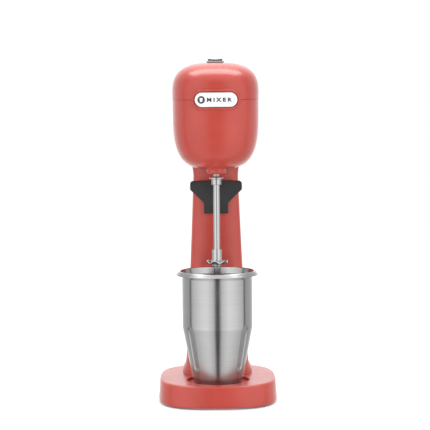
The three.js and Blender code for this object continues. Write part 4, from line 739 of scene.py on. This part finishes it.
def buildCap(form):
    proud, wall, low = form["capProud"], -form["wall"], form["seam"] + form["gap"]
    count, power = form["sides"], 2 / form["highPower"]
    room = (11.5, 7.5)  # the opening that the switch drops into
    near = 0.36  # the share of the plan where the rings have changed from the opening's shape to the head's

    def domeRings(offset, steps):
        halfX, halfY = form["halfWidth"] + offset, form["halfDepth"] + offset
        rings = []
        for share in (k / 6 for k in range(7)):
            ring = []
            for turn in (tau * i / count for i in range(count)):
                ax, ay = superPoint(turn, *room, 10)
                bx, by = superPoint(turn, halfX, halfY, form["planPower"])
                x, y = ax * (1 - share) + bx * near * share, ay * (1 - share) + by * near * share
                ring.append((x, y + form["centreY"], crown(x, y + form["centreY"], offset)))
            rings.append(ring)
        start = math.asin(near ** (1 / power))
        rise = form["top"] - form["beltHigh"] + offset
        for k in range(1, steps + 1):
            angle = start + (math.pi / 2 - start) * (k / steps)
            height = form["beltHigh"] + rise * max(math.cos(angle), 0) ** power
            rings.append(headRing(height, offset, math.sin(angle) ** power))
        return rings

    outside = domeRings(proud, 34)
    lip = rounded([(proud, form["beltHigh"] - 2), (proud, low, 0.4), (wall, low, 0.3),
                   (wall, form["beltHigh"] - 2)], 4)
    inside = domeRings(wall, 16)[::-1]
    rings = outside + [headRing(z, offset, 1) for offset, z in lip] + inside
    return meshObject("cap_shell", *skin(rings, loop=True))


cap = buildCap(headForm)
boolean(cap, buildSurround(badgeForm, headForm["seam"] + headForm["gap"], 470), "UNION")
ventLow, ventHigh = ventForm["low"], ventForm["low"] + ventForm["height"]
ventCorners = [(side * ventForm["width"] / 2, z, ventForm["corner"])
               for side, z in ((-1, ventLow), (1, ventLow), (1, ventHigh), (-1, ventHigh))]
slotPattern = prism("vent_pattern", rounded(ventCorners, 5, closed=True),
                    lambda a, b, t: ((t - 0.5) * ventForm["deep"], a, b), 0.01, 1)
span = ventForm["pitch"] * (ventForm["count"] - 1)
vents = gridCopies("vents", slotPattern, 2 * headForm["halfWidth"], span, (2, ventForm["count"]),
                   (0, ventForm["start"] + ventForm["width"] / 2 + span / 2, 0), paint)
boolean(cap, vents)
finishPiece(cap, "stand", paint, ["top_cap"], 32)
print("cap made")


# Badge

def buildBadge(form):
    rim, proud, field, back = form["rim"], form["proud"], form["field"], form["back"]
    rings = [[(0, frontOf(0, form["z"], back), form["z"])]]
    rings += [badgeRing(0, back, scale) for scale in (0.3, 0.6, 0.9)]
    section = rounded([(0, back), (0, proud, 0.35), (-rim + 0.4, proud, 0.3), (-rim - 0.1, field, 0.3),
                       (-rim - 1, field)], 4)
    rings += [badgeRing(d, o) for d, o in section]
    rings += [badgeRing(-rim - 1, field, scale) for scale in (0.85, 0.7, 0.5, 0.3, 0.15)]
    rings.append([(0, frontOf(0, form["z"], field), form["z"])])
    return meshObject("badge_plate", *skin(rings))


finishPiece(buildBadge(badgeForm), "stand", plateMetal, ["name_plate"], 30)

markForm = {"word": "MIXER", "x": 4.6, "width": 34.5, "height": 5.4, "size": 6.0, "spacing": 1.55,
            "bold": 0.26, "discX": -20.6, "disc": 5.2, "proud": 0.12, "thick": 0.14}


# Flat shapes drawn on the badge: each point sits on its field, the front face a little proud.
def printed(name, source, offset):
    work = bmesh.new()
    work.from_mesh(source)
    bmesh.ops.triangulate(work, faces=work.faces)
    bmesh.ops.subdivide_edges(work, edges=[e for e in work.edges if e.calc_length() > 0.9], cuts=2)
    for vert in work.verts:
        x, z = vert.co.x, vert.co.y + badgeForm["z"]
        vert.co = Vector((x, frontOf(x, z, offset), z)) * mm
    bmesh.ops.solidify(work, geom=work.faces[:], thickness=markForm["thick"] * mm)
    bmesh.ops.recalc_face_normals(work, faces=work.faces)
    mesh = bpy.data.meshes.new(name)
    work.to_mesh(mesh)
    work.free()
    obj = bpy.data.objects.new(name, mesh)
    bpy.context.scene.collection.objects.link(obj)
    return obj


def wordMesh(form):
    curve = bpy.data.curves.new("word", "FONT")
    curve.body, curve.size = form["word"], form["size"]
    curve.space_character, curve.offset = form["spacing"], form["bold"]
    curve.align_x, curve.align_y = "CENTER", "CENTER"
    holder = bpy.data.objects.new("word", curve)
    bpy.context.scene.collection.objects.link(holder)
    bpy.context.view_layer.update()
    mesh = bpy.data.meshes.new_from_object(holder.evaluated_get(bpy.context.evaluated_depsgraph_get()))
    bpy.data.objects.remove(holder)
    co = np.array([v.co[:] for v in mesh.vertices])
    low, high = co.min(0), co.max(0)
    wide, tall = form["width"] / (high[0] - low[0]), form["height"] / (high[1] - low[1])
    mesh.transform(Matrix.Translation((form["x"], 0, 0)) @ Matrix.Diagonal((wide, tall, 1, 1))
                   @ Matrix.Translation((-(low[0] + high[0]) / 2, -(low[1] + high[1]) / 2, 0)))
    return mesh


# A round mark with a plain beaker left open in it.
def markMesh(form):
    work = bmesh.new()
    count = 48
    outer = [work.verts.new((form["discX"] + form["disc"] * math.cos(tau * i / count),
                             form["disc"] * math.sin(tau * i / count), 0))
             for i in range(count)]
    beaker = rounded([(2.3, 2.6), (1.5, -2.9, 0.5), (-1.5, -2.9, 0.5), (-2.3, 2.6)], 3)
    inner = [work.verts.new((form["discX"] + x, y, 0)) for x, y in beaker]
    edges = [work.edges.new((a, b)) for ring in (outer, inner) for a, b in zip(ring, ring[1:] + ring[:1])]
    bmesh.ops.triangle_fill(work, use_beauty=True, edges=edges)
    mesh = bpy.data.meshes.new("mark")
    work.to_mesh(mesh)
    work.free()
    return mesh


lettering = printed("badge_lettering", wordMesh(markForm), badgeForm["field"] + markForm["proud"])
joinMeshes(lettering, printed("mark", markMesh(markForm), badgeForm["field"] + markForm["proud"]))
finishPiece(lettering, "stand", ink)
print("badge made")


# Speed switch

switchForm = {"y": -12.0, "halfX": 12.5, "halfY": 9.5, "low": 484.45, "high": 487.2, "roomX": 10.9,
              "roomY": 5.3, "bodyX": 11.2, "bodyY": 7.2, "bodyLow": 459.0, "floor": 474.4}


def buildSwitch(form):
    centre = (0, form["y"])

    def ring(x, y, corner, z):
        return rectRing(x, y, corner, z, centre)

    x, y, low, high = form["halfX"], form["halfY"], form["low"], form["high"]
    bodyX, bodyY, roomX, roomY = form["bodyX"], form["bodyY"], form["roomX"], form["roomY"]
    rings = [[(0, form["y"], form["bodyLow"])],
             ring(bodyX - 0.4, bodyY - 0.4, 0.4, form["bodyLow"]),
             ring(bodyX, bodyY, 0.5, form["bodyLow"] + 0.4), ring(bodyX, bodyY, 0.5, low + 0.3),
             ring(x - 0.3, y - 0.3, 2, low + 0.3), ring(x, y, 2.2, low + 0.6), ring(x, y, 2.2, low + 0.9),
             ring(x - 0.15, y - 0.15, 2.1, low + 1.2), ring(x - 1.15, y - 1.3, 1.6, high - 0.25),
             ring(x - 1.4, y - 1.6, 1.4, high), ring(roomX + 0.18, roomY + 0.3, 0.8, high),
             ring(roomX, roomY, 0.6, high - 0.3), ring(roomX, roomY, 0.6, form["floor"]),
             [(0, form["y"], form["floor"])]]
    return meshObject("switch_frame", *skin(rings))


finishPiece(buildSwitch(switchForm), "stand", greyPlastic, ["switch_body"])

rockerForm = {"half": 10.2, "top": 490.0, "dip": 0.9, "pivot": 483.4, "deep": 5.0, "low": 476.4}


def buildRocker(form):
    half, top, pivot = form["half"], form["top"], form["pivot"]
    line = [(-half, pivot - 1), (-half / 2, form["low"]), (half / 2, form["low"]), (half, pivot - 1)]
    for k in range(17):
        share = 1 - k / 8
        line.append((share * (half - 0.15), top - form["dip"] * (1 - share ** 2) - 0.02 * (abs(share) == 1)))
    return prism("rocker_cap", line,
                 lambda a, b, t: (a, switchForm["y"] + form["deep"] * (2 * t - 1), b), 0.35, 3)


finishPiece(buildRocker(rockerForm), "rocker", rockerPlastic, ["speed_rocker"])
print("switch made")


# Spindle

shaftForm = {"radius": 4.5, "low": 317.8, "high": 447.3, "node": "motor_shaft"}
rodForm = {"radius": 4.65, "low": 168.2, "high": 317.2, "node": "spindle_rod"}


# A plain round bar whose lower end is chamfered.
def buildBar(name, form, chamfer, corner, edge):
    radius, low, high = form["radius"], form["low"], form["high"]
    line = [(0, low), (radius - chamfer[0], low, corner), (radius, low + chamfer[1], edge[0]),
            (radius, high, edge[1]), (0, high)]
    bar = lathe(name, rounded(line, 4), 64)
    return finishPiece(bar, "rotor", brightSteel, [form["node"]], 32)


buildBar("shaft", shaftForm, (0.4, 0.8), 0.3, (0, 0.4))
sealForm = {"bore": 5.0, "radius": 8.0, "low": 327.5, "high": 332.3}


def buildSeal(form):
    bore, radius, low, high = form["bore"], form["radius"], form["low"], form["high"]
    line = [(bore, low + 0.7, 0.3), (bore + 1.6, low, 0.5), (radius, low, 0.3), (radius, high, 0.2),
            (bore, high, 0.2)]
    return lathe("lip_seal", rounded(line, 4, closed=True), 64, loop=True)


finishPiece(buildSeal(sealForm), "stand", rubber, ["shaft_seal"])

nutForm = {"radius": 7.25, "flange": 10.0, "low": 312.0, "high": 323.0, "flangeLow": 320.0, "bore": 4.62}


def buildNut(form):
    profile = rounded([(form["bore"], form["low"], 0.2), (form["radius"], form["low"], 0.7),
                       (form["radius"], form["flangeLow"], 0.5), (form["flange"], form["flangeLow"], 1.0),
                       (form["flange"], form["high"] - 0.5, 0.8), (form["flange"] - 1.8, form["high"], 0.4),
                       (form["bore"], form["high"], 0.3)], 5, closed=True)
    return lathe("drive_nut", profile, 96, loop=True)


finishPiece(buildNut(nutForm), "rotor", brightSteel, ["coupling_nut"], 32)
buildBar("rod", rodForm, (0.75, 1.2), 0.8, (0.5, 0.3))

# Each whisk is placed by the top of its disc and the ends of its hub.
discForm = {"radius": 15.2, "thick": 2.2, "wave": 3.2, "lobes": 6, "hub": 7.0, "dish": 1.4, "bore": 4.62,
            "upper": (205.0, 196.0, 220.0), "lower": (178.0, 172.0, 183.0)}


def buildAgitator(form, top, hubLow, hubHigh):
    count = 144

    def ring(radius, z, share):
        points = []
        for i in range(count):
            turn = tau * i / count
            rise = form["wave"] / 2 * share * (math.sin(form["lobes"] * turn) - 1)
            points.append((radius * math.cos(turn), spindleY + radius * math.sin(turn), z + rise))
        return points

    drop = form["wave"] + form["dish"]
    rings = []
    steps = 12
    nose = form["thick"] / 2
    edge = form["radius"] - nose
    for k in range(steps + 1):
        share = k / steps
        radius = form["hub"] - 0.3 + (edge - form["hub"] + 0.3) * share
        rings.append(ring(radius, top - form["thick"] - drop * (1 - share) ** 1.3, share))
    for k in range(1, 8):
        angle = -math.pi / 2 + math.pi * k / 8
        rings.append(ring(edge + nose * math.cos(angle), top - nose + nose * math.sin(angle), 1))
    for k in range(steps + 1):
        share = 1 - k / steps
        radius = form["hub"] - 0.3 + (edge - form["hub"] + 0.3) * share
        rings.append(ring(radius, top - drop * (1 - share) ** 1.3, share))
    disc = meshObject("disc", *skin(rings, loop=True))
    bore, outer = form["bore"], form["hub"]
    line = [(bore, hubLow, 0.2), (outer - 0.3, hubLow, 0.5), (outer, hubLow + 1, 0.5),
            (outer, hubHigh - 1, 0.5), (outer - 0.3, hubHigh, 0.8), (bore, hubHigh, 0.2)]
    hub = lathe("hub", rounded(line, 4, closed=True), 96, loop=True)
    return boolean(hub, disc, "UNION")


for place in ("upper", "lower"):
    whisk = buildAgitator(discForm, *discForm[place])
    whisk.name = place + "_whisk"
    finishPiece(whisk, "rotor", brightSteel, [place + "_agitator"], 32)
print("spindle made")


# Cup

cupForm = {"floor": 29.8, "radius": 50.2, "bottom": 35.0, "height": 160.2, "taper": 80.0, "wall": 1.0,
           "flange": 8.6, "drop": 6.0, "sides": 272, "fluteLow": 19.0, "fluteHigh": 85.0, "fluteHalf": 6.3,
           "fluteDepth": 1.5, "fluteTurn": 38.0}


# How deep the wall is pressed in at a turn about the axis and a height above the cup's floor.
def fluteDepth(turn, radius, high, form=cupForm):
    if not form["fluteLow"] - 1 < high < form["fluteHigh"] + 1:
        return 0.0
    at = math.radians(form["fluteTurn"])
    fromSide = math.atan2(abs(math.sin(turn)), abs(math.cos(turn)))
    away = (fromSide - at) * radius
    low, top = form["fluteLow"] + form["fluteHalf"], form["fluteHigh"] - form["fluteHalf"]
    beyond = high - min(max(high, low), top)
    share = min(max((form["fluteHalf"] - math.hypot(away, beyond)) / (0.55 * form["fluteHalf"]), 0), 1)
    fade = min(max((form["fluteHigh"] - high) / 12, 0.35), 1)
    return form["fluteDepth"] * fade * share * share * (3 - 2 * share)


def buildCup(form):
    big, small, wall, high = form["radius"], form["bottom"], form["wall"], form["height"]
    shoulder, crest, edge = high - 10, big + 3.7, big + form["flange"]
    section = rounded([(0, 1.2), (small - 7, 1.2, 1.5), (small - 5.5, 0, 0.8), (small - 2.2, 0, 0.9),
                       (small, 2.4, 1.4), (big, form["taper"], 14), (big, shoulder, 3.0),
                       (crest - 0.9, high - wall * 1.6, 0.9),
                       (edge - wall * 0.9, high - form["drop"] - wall * 0.35, 0.3),
                       (edge, high - form["drop"] + wall * 0.4, 0.4), (crest + 0.3, high, 1.7),
                       (crest - 1.9, high - 1.0, 1.2), (big - wall, shoulder + 0.3, 3.2),
                       (big - wall, form["taper"], 14), (small - wall, 3.2, 2.2),
                       (small - 3, 1 + wall, 0.5), (small - 6, 2 + wall, 0.8), (0, 2 + wall)], 7)
    rings, count = [], form["sides"]
    for radius, z in divided(section, 1.7):
        if radius < 1e-6:
            rings.append([(0, spindleY, form["floor"] + z)])
            continue
        ring = []
        for i in range(count):
            turn = tau * i / count
            reach = radius - fluteDepth(turn, radius, z)
            ring.append((reach * math.cos(turn), spindleY + reach * math.sin(turn), form["floor"] + z))
        rings.append(ring)
    return meshObject("steel_cup", *skin(rings))


finishPiece(buildCup(cupForm), "cup", cupSteel, ["mixing_cup"], 40)
print("cup made")


# Cup holder

holderForm = {"inner": 59.7, "outer": 64.4, "top": 314.5, "bottom": 266.5, "wing": 37.5, "stem": 17.5,
              "wingHigh": 12.5, "slant": 20.0, "corner": 4.5, "bevel": 0.9, "strip": 1.5}


def buildHolder(form):
    wing, stem, top = form["wing"], form["stem"], form["top"]
    wingLow = top - form["wingHigh"]
    side = [(stem, form["bottom"], 0.8), (stem, wingLow - form["slant"], 2.5), (wing, wingLow, 3.2),
            (wing, top, form["corner"])]
    outline = rounded(side + [(-x, z, r) for x, z, r in side[::-1]], 6, closed=True)
    obj = prism("cup_bracket", outline,
                lambda a, b, t: (a, form["inner"] + (form["outer"] - form["inner"]) * t, b), form["bevel"])
    work = bmesh.new()
    work.from_mesh(obj.data)
    at = -wing + form["strip"]
    while at < wing:
        bmesh.ops.bisect_plane(work, geom=work.verts[:] + work.edges[:] + work.faces[:], dist=1e-6,
                               plane_co=(at * mm, 0, 0), plane_no=(1, 0, 0))
        at += form["strip"]
    for vert in work.verts:
        x, radius = vert.co.x, vert.co.y
        vert.co.y = math.sqrt(radius ** 2 - x ** 2) + spindleY * mm
    bmesh.ops.recalc_face_normals(work, faces=work.faces)
    work.to_mesh(obj.data)
    work.free()
    return obj


finishPiece(buildHolder(holderForm), "holder", blackPlastic, ["cup_holder"], 32)
print("holder made")


# Inner parts keep their own shapes

innerFinish = {"zinc": zinc, "cup_steel": slideSteel, "spindle_steel": brightSteel,
               "aluminium": bareAluminium, "rubber": rubber, "white_plastic": whitePlastic,
               "black_plastic": blackPlastic, "grey_plastic": greyPlastic, "plate": plateMetal,
               "lamination": lamination, "copper": copper, "carbon": carbon, "paint": paint}
slotOf = {}
for entry in frame["record"]["materials"]:
    for node in entry.get("nodes", []):
        slotOf[node] = entry["slot"]
for name, node in nodes.items():
    if not node.hide_render:
        node.data.materials.clear()
        node.data.materials.append(innerFinish[slotOf.get(name, "zinc")])
print("inner parts finished, slots known for", len(slotOf), "nodes")


# Studio

studioForm = {"floor": (0.85, 0.88), "reach": (640, 560, 9000), "mat": (275, 560, 0.14),
              # Brightness against the angle from the front, as shares of half a turn.
              "round": [(0.0, 0.10), (0.02, 0.12), (0.075, 1.15), (0.2, 1.6), (0.3, 1.5), (0.42, 1.2),
                        (0.52, 0.95), (0.535, 0.2), (0.56, 0.2), (0.58, 0.68), (0.80, 0.75), (0.92, 1.2),
                        (1.0, 1.4)],
              "overhead": 1.35, "overheadFrom": (0.62, 0.82), "below": 0.7, "belowFrom": (-0.7, -0.15)}


# The room around the mixer: two wide soft panels in front, a narrow gap between them, and a pale wall behind.
def buildRoom(form):
    world = bpy.data.worlds.new("studio")
    bpy.context.scene.world = world
    world.use_nodes = True
    tree = world.node_tree
    add, link = tree.nodes.new, tree.links.new
    coords, split = add("ShaderNodeTexCoord"), add("ShaderNodeSeparateXYZ")
    link(coords.outputs["Generated"], split.inputs["Vector"])

    def reckon(operation, a, b=None):
        node = add("ShaderNodeMath")
        node.operation = operation
        for socket, value in zip(node.inputs, (a, b)):
            if isinstance(value, (int, float)):
                socket.default_value = value
            elif value is not None:
                link(value, socket)
        return node.outputs["Value"]

    x, y, z = (split.outputs[axis] for axis in "XYZ")
    turn = reckon("DIVIDE", reckon("ARCTAN2", reckon("ABSOLUTE", x), reckon("MULTIPLY", y, -1.0)), math.pi)
    ramp = add("ShaderNodeValToRGB")
    stops = form["round"]
    while len(ramp.color_ramp.elements) < len(stops):
        ramp.color_ramp.elements.new(0.5)
    for element, (position, value) in zip(ramp.color_ramp.elements, stops):
        element.position, element.color = position, (value, value, value, 1)
    link(turn, ramp.inputs["Fac"])
    high = add("ShaderNodeMapRange")
    high.interpolation_type = "SMOOTHSTEP"
    for label, value in zip(("From Min", "From Max"), form["overheadFrom"]):
        high.inputs[label].default_value = value
    link(z, high.inputs["Value"])
    mix = add("ShaderNodeMix")
    mix.data_type = "RGBA"
    link(high.outputs["Result"], mix.inputs["Factor"])
    link(ramp.outputs["Color"], mix.inputs["A"])
    mix.inputs["B"].default_value = (form["overhead"],) * 3 + (1,)
    down = add("ShaderNodeMapRange")
    for label, value in zip(("From Min", "From Max", "To Min"), (*form["belowFrom"], form["below"])):
        down.inputs[label].default_value = value
    link(z, down.inputs["Value"])
    dimmed = add("ShaderNodeMix")
    dimmed.data_type, dimmed.blend_type = "RGBA", "MULTIPLY"
    dimmed.inputs["Factor"].default_value = 1.0
    link(mix.outputs["Result"], dimmed.inputs["A"])
    link(down.outputs["Result"], dimmed.inputs["B"])
    seen, path = add("ShaderNodeMix"), add("ShaderNodeLightPath")
    seen.data_type = "RGBA"
    link(path.outputs["Is Camera Ray"], seen.inputs["Factor"])
    link(dimmed.outputs["Result"], seen.inputs["A"])
    seen.inputs["B"].default_value = (1, 1, 1, 1)
    link(seen.outputs["Result"], tree.nodes["Background"].inputs["Color"])
    tree.nodes["Background"].inputs["Strength"].default_value = 1.0


def buildFloor(form):
    half, front, back = form["reach"]
    floor = meshObject("floor", [(-half, -front, 0), (half, -front, 0), (half, back, 0), (-half, back, 0)],
                       [(0, 1, 2, 3)])
    shader = Shader("studioFloor")
    low, high = form["floor"]
    shader.link(shader.blend(shader.noise(3), (low,) * 3, (high,) * 3), "Base Color")
    shader.set(Roughness=0.9, Specular_IOR_Level=0.2)
    floor.data.materials.append(shader.material)
    floor.visible_glossy = False
    near, far, half = form["mat"]
    # Seen only in reflections: a dark card on the floor in front.
    corners = [(-near * half, -near, 0.5), (near * half, -near, 0.5), (far * half, -far, 0.5),
               (-far * half, -far, 0.5)]
    mat = meshObject("dark_mat", corners, [(0, 1, 2, 3)])
    mat.data.materials.append(plasticFinish("matCloth", (0.02, 0.02, 0.02), (0.03, 0.03, 0.03), 0.8))
    mat.visible_camera = mat.visible_shadow = mat.visible_diffuse = False


def areaLight(name, at, aim, size, power):
    data = bpy.data.lights.new(name, "AREA")
    data.shape, data.size, data.size_y, data.energy = "RECTANGLE", size[0], size[1], power
    obj = bpy.data.objects.new(name, data)
    bpy.context.scene.collection.objects.link(obj)
    direction = Vector(aim) - Vector(at)
    obj.matrix_world = Matrix.Translation(at) @ direction.to_track_quat("-Z", "Y").to_matrix().to_4x4()
    return obj


buildRoom(studioForm)
buildFloor(studioForm)
areaLight("topBox", (0.0, 0.45, 2.2), (0, -0.02, 0.45), (2.4, 1.1), 40)
fill = areaLight("frontFill", (0.0, -2.3, 0.75), (0, 0, 0.2), (1.2, 0.8), 10)
fill.visible_glossy = False

# Place in metres, turns in degrees.
cameraForm = {"at": (-0.025, -2.43, 0.455), "pitch": -4.45, "yaw": -0.54431, "roll": -0.5, "lens": 141.5}


def placeCamera(form):
    data = bpy.data.cameras.new("camera")
    data.lens, data.sensor_width = form["lens"], 36
    camera = bpy.data.objects.new("camera", data)
    bpy.context.scene.collection.objects.link(camera)
    camera.matrix_world = (Matrix.Translation(form["at"]) @ Matrix.Rotation(math.radians(form["yaw"]), 4, "Z")
                           @ Matrix.Rotation(math.radians(90 + form["pitch"]), 4, "X")
                           @ Matrix.Rotation(math.radians(form["roll"]), 4, "Z"))
    bpy.context.scene.camera = camera


placeCamera(cameraForm)
bpy.context.scene.view_settings.view_transform = "Standard"
print("studio made")
